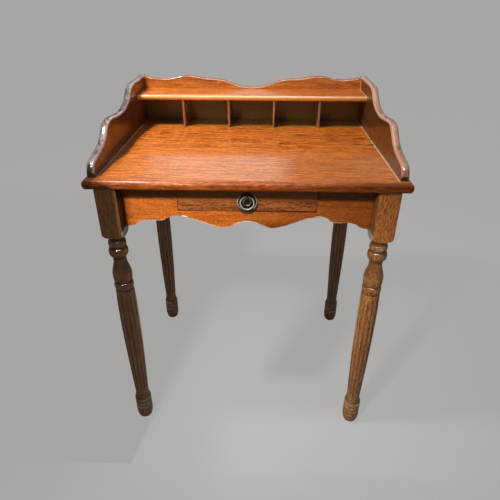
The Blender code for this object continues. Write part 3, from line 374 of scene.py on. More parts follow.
TURNED_LENGTH = 0.601
TURNED_RADIUS = 0.0238
POMMEL_HEIGHT = 0.012  # height of the turned shoulder at the square's corners
POMMEL_FLAT_SHARE = 0.86  # radius of the flat ring under the block, of half its side
POMMEL_ROWS = 15
BLOCK_SIDE = 0.049
BLOCK_CORNER = 0.0025
BLOCK_START = 0.02  # height over the turned part where the block's plain rows begin
BLOCK_ROWS = 6
BLOCK_TOP_EASE = 0.0008
CORNER_WEAR_ANGLE = 0.09
FLUTE_COUNT = 12
FLUTE_PITCH = 2 * math.pi / FLUTE_COUNT
FLUTE_DEPTH = 0.0024
FLUTE_WIDTH_SHARE = 0.56
FLUTE_RUN = (0.178, 0.205, 0.690, 0.732)  # where the flutes start, are full, fade and end
ANKLE = (0.158, 0.735)  # height and radius, as shares of the turned part's
BELLY = (0.640, 1.000)
SHAFT_TOP = (0.747, 0.930)
# Where fine pale lines lie on the turning's crests, partly bare wood and partly painted highlight: each
# zone's upper end as a share of the height, the strength of its lines, and how far below its surroundings a
# bright crest may lie.
LINE_ZONES = ((0.058, 0.1, 0.0013), (0.131, 1.0, 0.0013), (0.7525, 0.3, 0.0007),
              (0.795, 1.3, 0.0002), (2.0, 1.0, 0.0007))


def arc_rows(start, end, steps):
    """Rows from one (height, radius) to another along a quarter ellipse, the radius changing first."""
    t = np.linspace(0, QUARTER, steps + 1)[1:]
    return np.stack([start[0] + (end[0] - start[0]) * (1 - np.cos(t)),
                     start[1] + (end[1] - start[1]) * np.sin(t)], axis=-1)


def bead_rows(bottom, top, root, crest, steps=12):
    """Rows over a bead: half an ellipse that stands out between two heights."""
    t = np.linspace(0, math.pi, steps + 1)
    return np.stack([bottom + (top - bottom) * (1 - np.cos(t)) / 2,
                     root + (crest - root) * np.sin(t)], axis=-1)


def wave_rows(start, end, steps):
    """Rows along half a cosine wave from one (height, radius) to another, without the first."""
    t = np.linspace(0, 1, steps + 1)[1:]
    return np.stack([start[0] + (end[0] - start[0]) * t,
                     start[1] + (end[1] - start[1]) * (1 - np.cos(math.pi * t)) / 2], axis=-1)


def shaft_rows():
    """Rows of the shaft: a quarter sine swells it from the ankle to its belly, another draws it in."""
    height = np.concatenate([np.linspace(0.158, 0.212, 20), np.linspace(0.225, 0.68, 34),
                             np.linspace(0.69, 0.747, 20)])
    swollen = []
    for end_height, end_radius in (ANKLE, SHAFT_TOP):
        way = np.clip((height - end_height) / (BELLY[0] - end_height), 0, 1)
        swollen.append(end_radius + (BELLY[1] - end_radius) * np.sin(QUARTER * way))
    return np.stack([height, np.where(height <= BELLY[0], *swollen)], axis=-1)


def turning_rows():
    """The turned part from the floor up, as shares of its length and of its thickest radius."""
    foot = [[(0.0, 0.60)], arc_rows((0.0, 0.60), (0.052, 0.935), 10)]
    for bottom, top in ((0.060, 0.083), (0.083, 0.106), (0.106, 0.130)):
        foot.append(bead_rows(bottom, top, 0.862, 0.932, 8)[:-1])
    ankle = [[(0.130, 0.862)], wave_rows((0.131, 0.850), ANKLE, 8)[:-1]]
    ring = [[(0.7505, 0.905), (0.7545, 0.845)], bead_rows(0.757, 0.790, 0.840, 0.962)]
    vase = [[(0.7925, 0.835), (0.795, 0.865)], arc_rows((0.797, 0.905), (0.825, 0.965), 8),
            wave_rows((0.825, 0.965), (0.893, 0.640), 20)]
    cap = [[(0.905, 0.655), (0.910, 0.700)], bead_rows(0.912, 0.948, 0.740, 0.945),
           [(0.9495, 0.725), (0.9515, 0.725)], bead_rows(0.953, 0.979, 0.750, 0.862, 10),
           [(0.981, 0.740), (1.000, 0.740)]]
    return np.concatenate(foot + ankle + [shaft_rows()] + ring + vase + cap)


def round_square(angle, half, corner):
    """How far a square with round corners reaches in each direction from its middle."""
    cosine, sine = np.abs(np.cos(angle)), np.abs(np.sin(angle))
    straight = half / np.maximum(cosine, sine)
    along = (cosine + sine) * (half - corner)
    on_arc = along + np.sqrt(np.maximum(along ** 2 - 2 * (half - corner) ** 2 + corner ** 2, 0))
    return np.where(straight * np.minimum(cosine, sine) > half - corner, on_arc, straight)


def leg_columns():
    """Directions round the leg: close together at the flutes' edges and at the block's corners."""
    beside_flute = np.array([0.3, 0.6, 0.85, 0.98, 1.04, 1.25, 1.6])
    across = np.concatenate([-beside_flute, [0.0], beside_flute]) * FLUTE_PITCH * FLUTE_WIDTH_SHARE / 2
    beside_corner = np.array([1.0, 2.0, 3.2, 4.4])
    around = np.radians(np.concatenate([-beside_corner, beside_corner]))
    flutes = (np.arange(FLUTE_COUNT)[:, None] + 0.5) * FLUTE_PITCH + across
    corners = (np.arange(4)[:, None] + 0.5) * QUARTER + around
    return np.unique(np.round(np.concatenate([flutes.ravel(), corners.ravel()]) % (2 * math.pi), 5))


def flute_depths(angle, share):
    """How deep the flutes are, from 0 to 1: the root of s squared less t squared.

    s fades at the flutes' ends, and t is the way across a flute from its middle.
    """
    start, full, fade, end = FLUTE_RUN
    rise = np.clip((full - share) / (full - start), 0, 1)
    fall = np.clip((share - fade) / (end - fade), 0, 1)
    strength = np.sqrt(np.clip(1 - np.maximum(rise, fall) ** 2, 0, 1))
    from_middle = np.abs(angle % FLUTE_PITCH - FLUTE_PITCH / 2) / (FLUTE_PITCH * FLUTE_WIDTH_SHARE / 2)
    return np.sqrt(np.clip(strength[:, None] ** 2 - from_middle[None] ** 2, 0, 1))


def block_rows(angle, top):
    """Heights and radii of the block: a round-cornered square, cut back by the shoulder's quarter round."""
    half = BLOCK_SIDE / 2
    flat = POMMEL_FLAT_SHARE * half
    reach = half * math.sqrt(2)
    turn = np.linspace(0, QUARTER, POMMEL_ROWS)
    straight = np.linspace(TURNED_LENGTH + BLOCK_START, top - BLOCK_TOP_EASE, BLOCK_ROWS)
    height = np.concatenate([TURNED_LENGTH + POMMEL_HEIGHT * (1 - np.cos(turn)), straight,
                             [top - BLOCK_TOP_EASE / 3, top]])
    no_limit = np.full(len(height) - POMMEL_ROWS, 2 * reach)
    limit = np.concatenate([flat + (reach - flat) * np.sin(turn), no_limit])
    inset = np.concatenate([np.zeros(len(height) - 2), [BLOCK_TOP_EASE / 3, BLOCK_TOP_EASE]])
    square = round_square(angle, half, BLOCK_CORNER)[None] - inset[:, None]
    return height, np.minimum(square, limit[:, None])


def turning_marks(height, plain, share):
    """How bright the turning's crests are, bare wood and painted highlight, and how dark its valleys, dirt
    and painted shade, by the radii close to each row.
    """
    close_by, full_valley, full_crest = 0.006, 0.0022, 0.0016
    near = np.abs(height[:, None] - height[None]) < close_by
    around = np.where(near, plain[None], -1).max(axis=1)
    within = np.where(near, plain[None], 1).min(axis=1)
    valley = np.clip((around - plain) / full_valley, 0, 1)
    crest = np.clip((plain - within) / full_crest, 0, 1) * (1 - valley)
    zone_end, strength, width = np.array(LINE_ZONES).T
    zone = np.searchsorted(zone_end, share, side="right")
    line = np.clip(crest * strength[zone], 0, 1) * np.clip(1 - (around - plain) / width[zone], 0, 1)
    return line, valley


def leg_surface(block_top):
    """Points and marks of one leg round its own axis: the turning less its flutes, then the block."""
    angle = leg_columns()
    share, radius_share = turning_rows().T
    height, plain = share * TURNED_LENGTH, radius_share * TURNED_RADIUS
    cut = flute_depths(angle, share)
    upper_height, block = block_rows(angle, block_top)
    radius = np.concatenate([plain[:, None] - FLUTE_DEPTH * cut, block])
    level = np.concatenate([height, upper_height])
    points = np.dstack([radius * np.cos(angle), radius * np.sin(angle),
                        np.broadcast_to(level[:, None], radius.shape)])
    line, valley = turning_marks(height, plain, share)
    groove = np.concatenate([np.maximum(cut * 0.55, valley[:, None]), np.zeros(block.shape)])
    groove[len(height) - 1:len(height) + 1] = 1  # the corner between the turning and the block
    corner = np.clip(1 - (angle + QUARTER / 2) % QUARTER / CORNER_WEAR_ANGLE, 0, 1)
    edge = np.concatenate([np.broadcast_to(line[:, None], cut.shape),
                           np.broadcast_to(corner * 0.35, block.shape)])
    return points, {"edge_wear_and_highlight": edge, "groove": groove}


def leg(place, points, marks):
    """One of the four legs, which share their turning."""
    low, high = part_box(f"leg_{place}")
    middle = np.array([(low.x + high.x) / 2, (low.y + high.y) / 2, 0.0])
    return make_piece(f"fluted_leg_{place}", f"leg_{place}", points + middle, marks)


# The pull.

PLATE_SIDES = 72
PLATE_HEIGHT = 0.0032  # the rim's height over the drawer front
# The plate's face from its middle to its rim, as shares of its radius and of its height.
PLATE_FACE = (
    (0.02, 0.30), (0.10, 0.30), (0.20, 0.34), (0.28, 0.46), (0.335, 0.66), (0.375, 0.88), (0.405, 0.86),
    (0.432, 0.62), (0.460, 0.47), (0.520, 0.45), (0.62, 0.45), (0.74, 0.45), (0.800, 0.48), (0.845, 0.70),
    (0.885, 0.93), (0.925, 1.00), (0.962, 0.90), (0.988, 0.62), (1.000, 0.20))
RING_SIDES = 96
RING_WIRE_SIDES = 20


def directions(count):
    """Angles evenly round a circle."""
    return np.arange(count) * 2 * math.pi / count


def pull_plate():
    """The dished plate, turned: a rim painted bright at its left and right, a flat floor, an inner ridge and
    a hollow middle.
    """
    low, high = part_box("pull_plate")
    radius = (high.x - low.x) / 2
    centre = (0.0, high.y + GLUE_GAP, (low.z + high.z) / 2)
    curve = smooth_curve(np.array(PLATE_FACE) * (radius, PLATE_HEIGHT), 4)[::-1]
    reach, height = np.concatenate([[(radius * 0.998, GLUE_GAP)], curve]).T[..., None]
    angle = directions(PLATE_SIDES)
    x = reach * np.cos(angle)
    points = np.dstack([x, np.broadcast_to(-height, x.shape), reach * np.sin(angle)]) + np.array(centre)
    share = reach / radius
    inner_ridge = 0.75 * np.exp(-((share - 0.380) / 0.030) ** 2)
    rim = np.clip((share - 0.86) / 0.05, 0, 1)
    hollow = np.clip((0.84 - share) / 0.05, 0, 1)
    # The rim is bright only at its sides: painted light where the light reaches it, its top and bottom left
    # in shade.
    rubbed = inner_ridge + rim * np.clip((np.abs(np.cos(angle)) - 0.45) / 0.35, 0, 1)
    marks = {"edge_wear_and_highlight": rubbed, "groove": np.repeat(hollow, PLATE_SIDES, axis=1)}
    return make_piece("pull_dish", "pull_plate", points, marks, "drawer")


def pull_ring():
    """The ring of round wire that hangs in the eye: a circle carried round a circle.

    It is worn bright on its front, most of all low down, where fingers take it.
    """
    low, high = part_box("pull_ring")
    wire = (high.y - low.y) / 2
    radius = (high.x - low.x) / 2 - wire
    centre = np.array((low + high) / 2)
    along = directions(RING_SIDES)[:, None]
    around = directions(RING_WIRE_SIDES)[None]
    reach = radius + wire * np.cos(around)
    x = reach * np.cos(along)
    points = np.dstack([x, np.broadcast_to(-wire * np.sin(around), x.shape), reach * np.sin(along)]) + centre
    wear = np.clip(0.25 + np.sin(around), 0, 1) * np.clip(0.92 - 0.08 * np.sin(along), 0, 1)
    return make_piece("ring_handle", "pull_ring", points, {"edge_wear_and_highlight": wear}, "ring",
                      closed=True)


# Materials.

class Shading:
    """Adds nodes to one shader tree. A value may be a number, a vector, a colour or a node's socket."""

    def __init__(self, tree):
        self.tree = tree

    def take_place(self, place):
        """Noises and coordinates are those of this place from now on."""
        self.place = place
        self.x, self.y, self.z = self.add("SeparateXYZ", {0: place}).outputs

    def feed(self, sockets, values):
        """Sets the sockets, or links them where a value is a socket itself."""
        for label, value in values.items():
            if isinstance(value, bpy.types.NodeSocket):
                self.tree.links.new(value, sockets[label])
            else:
                sockets[label].default_value = value

    def add(self, kind, inputs, **options):
        """A new node with its options and its inputs."""
        made = self.tree.nodes.new(f"ShaderNode{kind}")
        for option, value in options.items():
            setattr(made, option, value)
        self.feed(made.inputs, inputs)
        return made

    def use(self, group, inputs):
        """The outputs of a node group."""
        return self.add("Group", inputs, node_tree=group).outputs

    def mark(self, name):
        """A mark that the piece's points carry."""
        return self.add("Attribute", {}, attribute_name=name).outputs["Fac"]

    def sums(self, operation, *values, clamp=False):
        """The result of one sum on numbers."""
        return self.add("Math", dict(enumerate(values)), operation=operation, use_clamp=clamp).outputs[0]

    def times(self, first, second, clamp=False):
        """Two numbers multiplied."""
        return self.sums("MULTIPLY", first, second, clamp=clamp)

    def scaled(self, value, factor, offset, clamp=False):
        """A number times a factor, plus an offset."""
        return self.sums("MULTIPLY_ADD", value, factor, offset, clamp=clamp)

    def size(self, value, centre=0.0):
        """How far a number is from a centre."""
        return self.sums("ABSOLUTE", self.sums("SUBTRACT", value, centre) if centre else value)

    def vector(self, operation, *values, output="Vector"):
        """The result of one sum on vectors."""
        return self.add("VectorMath", dict(enumerate(values)), operation=operation).outputs[output]

    def distance(self, centre, scale):
        """How far the place is from a centre, each direction scaled first."""
        offset = self.vector("SUBTRACT", self.place, centre)
        return self.vector("LENGTH", self.vector("MULTIPLY", offset, scale), output="Value")

    def blend(self, share, first, second, how="MIX"):
        """A colour between two others."""
        mixed = {"Factor": share, 6: first, 7: second}
        return self.add("Mix", mixed, data_type="RGBA", blend_type=how).outputs[2]

    def tint(self, share, colour, factor):
        """A colour multiplied by a factor, as far as the share says."""
        return self.blend(share, colour, factor, "MULTIPLY")

    def step(self, value, low, high, bottom=0.0, top=1.0):
        """A value's smooth climb from bottom to top between low and high."""
        limits = {"Value": value, "From Min": low, "From Max": high, "To Min": bottom, "To Max": top}
        return self.add("MapRange", limits, interpolation_type="SMOOTHSTEP").outputs[0]

    def noise(self, scale, detail=2.0, roughness=0.5, place=None):
        """Noise, in waves per metre along all three axes or along each."""
        scales = scale if isinstance(scale, tuple) else (scale, scale, scale)
        moved = self.vector("MULTIPLY", place or self.place, scales)
        settings = {"Vector": moved, "Scale": 1.0, "Detail": detail, "Roughness": roughness}
        return self.add("TexNoise", settings).outputs["Fac"]

    def bump(self, height, strength, distance):
        """The normal over a height."""
        return self.add("Bump", {"Height": height, "Strength": strength, "Distance": distance}).outputs[0]


def new_group(name, inputs, outputs):
    """A node group's shading at its own Vector input, and the sockets of its inputs and outputs.

    inputs holds the other inputs' first values: colours as tuples, numbers as they are.
    """
    group = bpy.data.node_groups.new(name, "ShaderNodeTree")
    group.interface.new_socket("Vector", in_out="INPUT", socket_type="NodeSocketVector")
    for label, value in inputs.items():
        kind = "Color" if isinstance(value, tuple) else "Float"
        socket = group.interface.new_socket(label, in_out="INPUT", socket_type=f"NodeSocket{kind}")
        socket.default_value = value
    for label in outputs:
        kind = "Color" if label == "Color" else "Float"
        group.interface.new_socket(label, in_out="OUTPUT", socket_type=f"NodeSocket{kind}")
    at = Shading(group)
    given = group.nodes.new("NodeGroupInput").outputs
    at.take_place(given["Vector"])
    return at, given, group.nodes.new("NodeGroupOutput").inputs


def rgb(red, green, blue):
    """A colour with full alpha."""
    return (red, green, blue, 1.0)


def grained_wood_group():
    """Plain-sawn wood: growth rings round a slanting pith, bands, streaks, specks and open pores.

    The grain runs along the vector's X. A ring's number is the distance from the pith over the
    ring spacing, shaken by slow noise. Along and Across scale how fine the figure is each way.
    """
    at, given, result = new_group(
        "grained_wood",
        {"Along": 1.0, "Across": 1.0, "Pith Side": 0.02, "Pith Depth": 0.09, "Slant": 0.05,
         "Ring Spacing": 0.006, "Shake": 0.016, "Rings": 0.2, "Bands": 0.3, "Streaks": 0.4, "Specks": 0.4,
         "Pores": 0.6, "Light": rgb(0.7, 0.2, 0.04), "Dark": rgb(0.3, 0.07, 0.015),
         "Pore": rgb(0.06, 0.015, 0.005)},
        ("Color", "Tone", "Pore Mask"))
    fineness = at.add("CombineXYZ", {0: given["Along"], 1: given["Across"], 2: given["Across"]}).outputs[0]
    figured = at.vector("MULTIPLY", at.place, fineness)
    shake = at.times(at.sums("SUBTRACT", at.noise((1.8, 9, 9)), 0.5), given["Shake"])
    side = at.scaled(at.x, given["Slant"], at.sums("ADD", at.y, given["Pith Side"]))
    depth = at.sums("ADD", at.z, given["Pith Depth"])
    away = at.sums("SQRT", at.sums("ADD", at.times(side, side), at.times(depth, depth)))
    number = at.sums("DIVIDE", at.sums("ADD", away, shake), given["Ring Spacing"])
    wave = at.sums("SINE", at.times(number, 2 * math.pi))
    tone = at.scaled(at.times(wave, 0.5), given["Rings"], 0.5)
    for layer, scale, detail in (("Bands", (5, 60, 60), 2.0), ("Streaks", (24, 220, 220), 3.0),
                                 ("Specks", (95, 400, 400), 2.0)):
        swing = at.scaled(at.noise(scale, detail, 0.6, figured), 4.0, -2.0)
        tone = at.scaled(swing, given[layer], tone)
    tone = at.sums("ADD", tone, 0.0, clamp=True)
    pores = at.times(at.step(at.noise((85, 1150, 1150), 1.0), 0.60, 0.70), given["Pores"], clamp=True)
    colour = at.blend(pores, at.blend(tone, given["Dark"], given["Light"]), given["Pore"])
    at.feed(result, {"Color": colour, "Tone": tone, "Pore Mask": pores})
    return at.tree


def wear_and_highlight_group():
    """Pale edges, partly varnish rubbed off and partly painted highlight and reflection on rims and crests:
    the edge mark, broken up by two sizes of noise.
    """
    at, given, result = new_group(
        "wear_and_highlight", {"Color": rgb(1, 1, 1), "Worn": rgb(0.6, 0.4, 0.2), "Edge": 0.0, "Amount": 0.5},
        ("Color", "Mask"))
    broken = at.scaled(at.noise(260, 2.0, 0.6), 0.5, at.noise(28, 3.0, 0.6))
    rubbed = at.step(at.scaled(given["Amount"], given["Edge"], broken), 1.12, 1.32)
    mask = at.times(rubbed, at.times(given["Edge"], 1.6, clamp=True))
    at.feed(result, {"Color": at.blend(mask, given["Color"], given["Worn"]), "Mask": mask})
    return at.tree


def dirt_and_shade_group():
    """Darkening in grooves: wax and dust settled there, and on the legs painted shade of their flutes and
    turnings, thicker in some places than others.
    """
    at, given, result = new_group(
        "groove_dirt_and_shade",
        {"Color": rgb(1, 1, 1), "Groove Colour": rgb(0.02, 0.012, 0.006), "Groove": 0.0, "Amount": 0.8},
        ("Color", "Mask"))
    thick = at.step(at.noise(40, 3.0, 0.6), 0.25, 0.60, 0.45, 1.0)
    mask = at.times(at.times(given["Groove"], given["Amount"]), thick, clamp=True)
    at.feed(result, {"Color": at.blend(mask, given["Color"], given["Groove Colour"]), "Mask": mask})
    return at.tree


GRAINED_WOOD = grained_wood_group()
WEAR_AND_HIGHLIGHT = wear_and_highlight_group()
GROOVE_DIRT_AND_SHADE = dirt_and_shade_group()

# Turns that lay a board's own length along the grain: its length runs along X, Y or Z.
ALONG_X = (0.0, 0.0, 0.0)
ALONG_Y = (0.0, 0.0, math.radians(-90))
ALONG_Z = (0.0, math.radians(90), 0.0)


def new_material(name):
    """A material, its shading at the object's own coordinates, and its surface's inputs."""
    material = bpy.data.materials.new(name)
    material.use_nodes = True
    at = Shading(material.node_tree)
    at.take_place(at.add("TexCoord", {}).outputs["Object"])
    return material, at, material.node_tree.nodes["Principled BSDF"].inputs


def wood(name, turn, shift, light, dark, pore, grain=None, roughness=(0.32, 0.44), coat=0.8,
         coat_roughness=0.09, coat_ior=1.5, worn=rgb(0.60, 0.34, 0.14), wear=0.45, dirt_shade_amount=0.8,
         bump=0.25, edge_tint=rgb(1, 1, 1), marks=None, dull=None):
    """A varnished wood: grain turned along the board, wear and painted highlights on its edges, and dirt and
    painted shade in its grooves.

    marks(at, colour) gives a board's own marks, painted light and shade among them, and dull(at) says where
    its varnish is dull.
    """
    material, at, surface = new_material(name)
    along = at.add("Mapping", {"Vector": at.place, "Location": shift, "Rotation": turn}).outputs[0]
    figure = {"Vector": along, "Light": light, "Dark": dark, "Pore": pore, **(grain or {})}
    grained = at.use(GRAINED_WOOD, figure)
    edge = at.mark("edge_wear_and_highlight")
    grooved = at.use(GROOVE_DIRT_AND_SHADE, {"Vector": at.place, "Color": grained["Color"],
                                   "Groove": at.mark("groove"), "Amount": dirt_shade_amount})
    marked = marks(at, grooved["Color"]) if marks else grooved["Color"]
    rubbed = at.use(WEAR_AND_HIGHLIGHT, {"Vector": at.place, "Color": at.tint(edge, marked, edge_tint),
                                "Worn": worn, "Edge": edge, "Amount": wear})
    gloss = at.step(at.noise(14, 3.0, 0.6), 0.3, 0.7, *roughness)
    sunk_pores = at.scaled(grained["Pore Mask"], -0.7, at.times(grained["Tone"], 0.3))
    height = at.scaled(at.noise(45), 1.2, sunk_pores)
    at.feed(surface, {"Base Color": rubbed["Color"],
                      "Roughness": at.scaled(rubbed["Mask"], 0.12, gloss, clamp=True),
                      "Specular IOR Level": 0.3, "Coat Weight": coat, "Coat Roughness": coat_roughness,
                      "Coat IOR": coat_ior, "Normal": at.bump(height, bump, 0.0008)})
    if dull:
        at.feed(surface, {"Coat Weight": at.scaled(dull(at), -coat, coat, clamp=True)})
    return material


def metal(name, dark, bright, roughness, wear, rubbed_all_over=0.0):
    """Old metal: a dark tarnish, rubbed bright on its ridges, with fine pits."""
    material, at, surface = new_material(name)
    cloudy = at.step(at.noise(220, 3.0, 0.6), 0.35, 0.65)
    tarnish = at.blend(cloudy, dark, rgb(*[channel * 1.7 for channel in dark[:3]]))
    grooved = at.use(GROOVE_DIRT_AND_SHADE, {"Vector": at.place, "Color": tarnish,
                                   "Groove": at.mark("groove"), "Amount": 0.7})
    rubbed = at.step(at.scaled(at.mark("edge_wear_and_highlight"), wear, at.noise(500)),
                     0.75 - rubbed_all_over, 1.15 - rubbed_all_over)
    at.feed(surface, {"Base Color": at.blend(rubbed, grooved["Color"], bright),
                      "Metallic": at.step(rubbed, 0.0, 1.0, 0.9, 0.45),
                      "Roughness": at.step(rubbed, 0.0, 1.0, roughness, roughness + 0.15),
                      "Normal": at.bump(at.noise(900), 0.2, 0.0003)})
    return material


# Colours, as linear values.
TOP_LIGHT = rgb(0.95, 0.275, 0.034)
TOP_DARK = rgb(0.36, 0.064, 0.007)
FRAME_LIGHT = rgb(0.84, 0.220, 0.024)
FRAME_DARK = rgb(0.38, 0.080, 0.009)
BACK_LIGHT = rgb(0.82, 0.265, 0.036)
BACK_DARK = rgb(0.36, 0.094, 0.013)
DIVIDER_LIGHT = rgb(0.46, 0.23, 0.09)
DRAWER_LIGHT = rgb(0.56, 0.17, 0.040)
DRAWER_DARK = rgb(0.16, 0.036, 0.009)
LEG_LIGHT = rgb(0.80, 0.322, 0.075)
LEG_DARK = rgb(0.19, 0.068, 0.017)
# painted shade inside the pigeonholes, under the shelf
HOLE_SHADE = rgb(0.205, 0.118, 0.012)
PALE_LINE = rgb(1.0, 0.66, 0.40)  # pale lines along the joints, and a painted highlight along the shelf's nose
WARM_PORE = rgb(0.12, 0.022, 0.004)
DARK_PORE = rgb(0.03, 0.012, 0.004)
RAW_LIGHT = rgb(0.62, 0.42, 0.22)
RAW_DARK = rgb(0.42, 0.26, 0.12)
RAW_PORE = rgb(0.26, 0.15, 0.07)

# Where the marks lie. A pair is the start and the end of a smooth change.
NOSE_Y = (-0.263, -0.259)  # the top's front nose
BEHIND_NOSE_Y = (-0.256, -0.252)
JOINT_X = 0.3155  # the gallery sides' feet
# the middle of the pull's painted shadow
PULL_SHADOW_CENTRE = (0.002, 0.0, 0.6750)
TOP_SHADOW_Z = (0.684, 0.690)  # the strip of painted shade under the top, on the apron and the drawer
BLOCK_INNER_X = (0.2770, 0.2785)
APRON_FOOT_Z = (0.6195, 0.6215)
# Dark flecks in the top: centre and reach along X and Y.
FLECKS = (((0.081, 0.002), (0.012, 0.0060)), ((0.098, 0.006), (0.009, 0.0050)),
          ((0.076, -0.014), (0.009, 0.0052)), ((0.292, 0.049), (0.018, 0.0065)),
          ((0.318, 0.046), (0.012, 0.0050)), ((0.272, -0.001), (0.015, 0.0055)),
          ((0.308, -0.003), (0.012, 0.0062)))
CHIPS = ((-0.140, 0.008), (0.010, 0.050), (0.168, 0.020))  # in the scallop's edge: middle and reach along X


def fleck(at, centre, reach):
    """A ragged elongated spot: one in the middle and nothing well beyond its reach along X and Y."""
    away = at.distance((*centre, SURFACE_LEVEL), (1 / reach[0], 1 / reach[1], 0.0))
    return at.step(at.scaled(at.noise((130, 700, 130), 3.0), -1.6, away), -0.35, 0.05, 1.0, 0.0)


def scuffs(at, most):
    """Fine scratches and rubbed spots along the boards' length, up to the given share."""
    return at.step(at.noise((35, 420, 420), 3.0, 0.6), 0.35, 0.65, 0.0, most)


def on_nose(at):
    """Most of one on the top's front nose, where hands have dulled the varnish."""
    return at.step(at.y, *NOSE_Y, 0.85, 0.0)


def dull_top(at):
    """The dulled nose, and fine scuffs behind it."""
    return at.sums("MAXIMUM", on_nose(at), scuffs(at, 0.25))


def dull_shelf(at):
    """Heavy scuffs, where things have stood on the shelf."""
    return scuffs(at, 0.8)


def top_marks(at, colour):
    """Flecks and a streaked nose; painted shade towards the right, on the nose's right end and in the
    pigeonholes; a painted reflection on the front; pale lines beside the gallery.
    """
    # Painted shade: darker towards the right, where less light falls.
    colour = at.blend(at.step(at.x, 0.02, 0.20, 0.0, 0.15), colour, rgb(0.62, 0.155, 0.018))
    # Painted reflection: the front of the top is tinted a darker red.
    colour = at.blend(at.step(at.y, -0.09, -0.05, 0.30, 0.0), colour, rgb(0.54, 0.155, 0.016))
    strokes = at.step(at.noise((60, 520, 520)), 0.50, 0.62, 0.0, 0.7)
    colour = at.blend(at.times(strokes, on_nose(at)), colour, rgb(0.16, 0.030, 0.006))
    # Painted shade: the nose's upper edge darker at its right end.
    upper_nose = at.times(on_nose(at), at.step(at.z, 0.733, 0.739))
    right_nose_shade = at.times(upper_nose, at.step(at.x, 0.13, 0.24, 0.0, 0.75))
    colour = at.blend(right_nose_shade, colour, rgb(0.22, 0.045, 0.008))
    # Pale lines beside the gallery's feet.
    line = at.step(at.size(at.size(at.x), JOINT_X), 0.0011, 0.0017, 0.85, 0.0)
    colour = at.blend(at.times(line, at.step(at.y, *BEHIND_NOSE_Y)), colour, PALE_LINE)
    for centre, reach in FLECKS:
        colour = at.blend(fleck(at, centre, reach), colour, rgb(0.05, 0.012, 0.004))
    between_sides = at.step(at.size(at.x), JOINT_X, JOINT_X + 0.001, 1.0, 0.0)
    # Painted shade in the pigeonholes, behind the shelf's shadow edge.
    holes_shade = at.times(between_sides, at.step(at.y, 0.155, 0.175, 0.0, 0.85))
    return at.blend(holes_shade, colour, HOLE_SHADE)


def pull_shadow(at):
    """Most of one in the round patch that paints the pull's shadow as a crescent below its plate."""
    return at.step(at.distance(PULL_SHADOW_CENTRE, (1.0, 0.0, 1.0)), 0.0212, 0.0240, 0.9, 0.0)


def apron_marks(at, colour):
    """The front apron: painted shade towards its right end, right under the top and below the pull; chipped
    on its scallop.
    """
    # Painted shade: darker towards the right end.
    shade_to_right = at.step(at.scaled(at.noise(14), 0.12, at.x), 0.00, 0.15, 0.0, 0.7)
    colour = at.tint(shade_to_right, colour, rgb(0.62, 0.59, 0.62))
    # The pull's painted shadow, a dark crescent below its plate.
    colour = at.blend(pull_shadow(at), colour, rgb(0.06, 0.025, 0.010))
    # Painted shade in the strip right under the top.
    colour = at.tint(at.step(at.z, *TOP_SHADOW_Z, 0.0, 0.75), colour, rgb(0.42, 0.40, 0.22))
    ragged = at.scaled(at.noise(300), 0.6, at.mark("edge_wear_and_highlight"))
    bare = at.times(at.step(ragged, 0.40, 0.58), at.step(at.z, 0.650, 0.656, 1.0, 0.0))
    for middle, reach in CHIPS:
        chip = at.step(at.size(at.x, middle), reach / 2, reach, 1.0, 0.0)
        colour = at.blend(at.times(chip, bare), colour, rgb(0.95, 0.80, 0.58))
    return colour


def beside_apron(at):
    """One on the blocks' inner sides beside the aprons, with less of it on the right legs."""
    inner = at.step(at.size(at.x), *BLOCK_INNER_X, 0.95, 0.0)
    level = at.times(inner, at.step(at.z, *APRON_FOOT_Z))
    return at.times(level, at.step(at.x, -0.1, 0.1, 1.0, 0.45))


def leg_marks(at, colour):
    """Painted shade beside the aprons, a pale painted reflection just below them, right blocks painted a
    brighter orange with dark strokes, and painted shade low on the right legs.
    """
    # Painted shade on the blocks' inner sides beside the aprons.
    colour = at.blend(beside_apron(at), colour, rgb(0.035, 0.018, 0.008))
    # A pale painted reflection on the blocks' inner sides just below the aprons.
    inner = at.step(at.size(at.x), *BLOCK_INNER_X, 1.0, 0.0)
    rubbed = at.times(inner, at.step(at.z, *APRON_FOOT_Z, 0.8, 0.0))
    colour = at.blend(rubbed, colour, rgb(0.85, 0.76, 0.60))
    right_leg = at.step(at.x, -0.1, 0.1)
    in_block = at.times(at.times(right_leg, at.step(at.z, 0.58, 0.62)), at.step(at.x, *BLOCK_INNER_X))
    # Painted light: the right legs' blocks tinted a brighter orange, with dark grain strokes after it.
    colour = at.blend(at.times(in_block, 0.5), colour, rgb(1.0, 0.29, 0.045))
    strokes = at.step(at.noise((380, 380, 70)), 0.50, 0.60, 0.0, 0.65)
    colour = at.blend(at.times(strokes, in_block), colour, rgb(0.17, 0.055, 0.012))
    # Painted shade low on the right legs.
    low_right_shade = at.times(right_leg, at.step(at.z, 0.05, 0.42, 0.55, 0.0))
    return at.tint(low_right_shade, colour, rgb(0.45, 0.45, 0.45))


def drawer_painted_shading(at, colour):
    """Painted shadow along the drawer's lower edge and below the pull, and a strip under the top painted
    lighter so that its shade matches the apron's.
    """
    # Painted shadow in the gap under the drawer, deeper at its right.
    low_edge = at.step(at.z, 0.6612, 0.6632, 1.0, 0.0)
    gap_shadow = at.times(low_edge, at.step(at.x, -0.002, 0.010, 0.25, 0.9))
    colour = at.tint(at.sums("MAXIMUM", gap_shadow, pull_shadow(at)), colour, rgb(0.12, 0.12, 0.12))
    # Painted light: the strip under the top lighter, so that the shade there matches the apron's.
    return at.blend(at.step(at.z, *TOP_SHADOW_Z, 0.0, 0.7), colour, rgb(0.50, 0.155, 0.014))


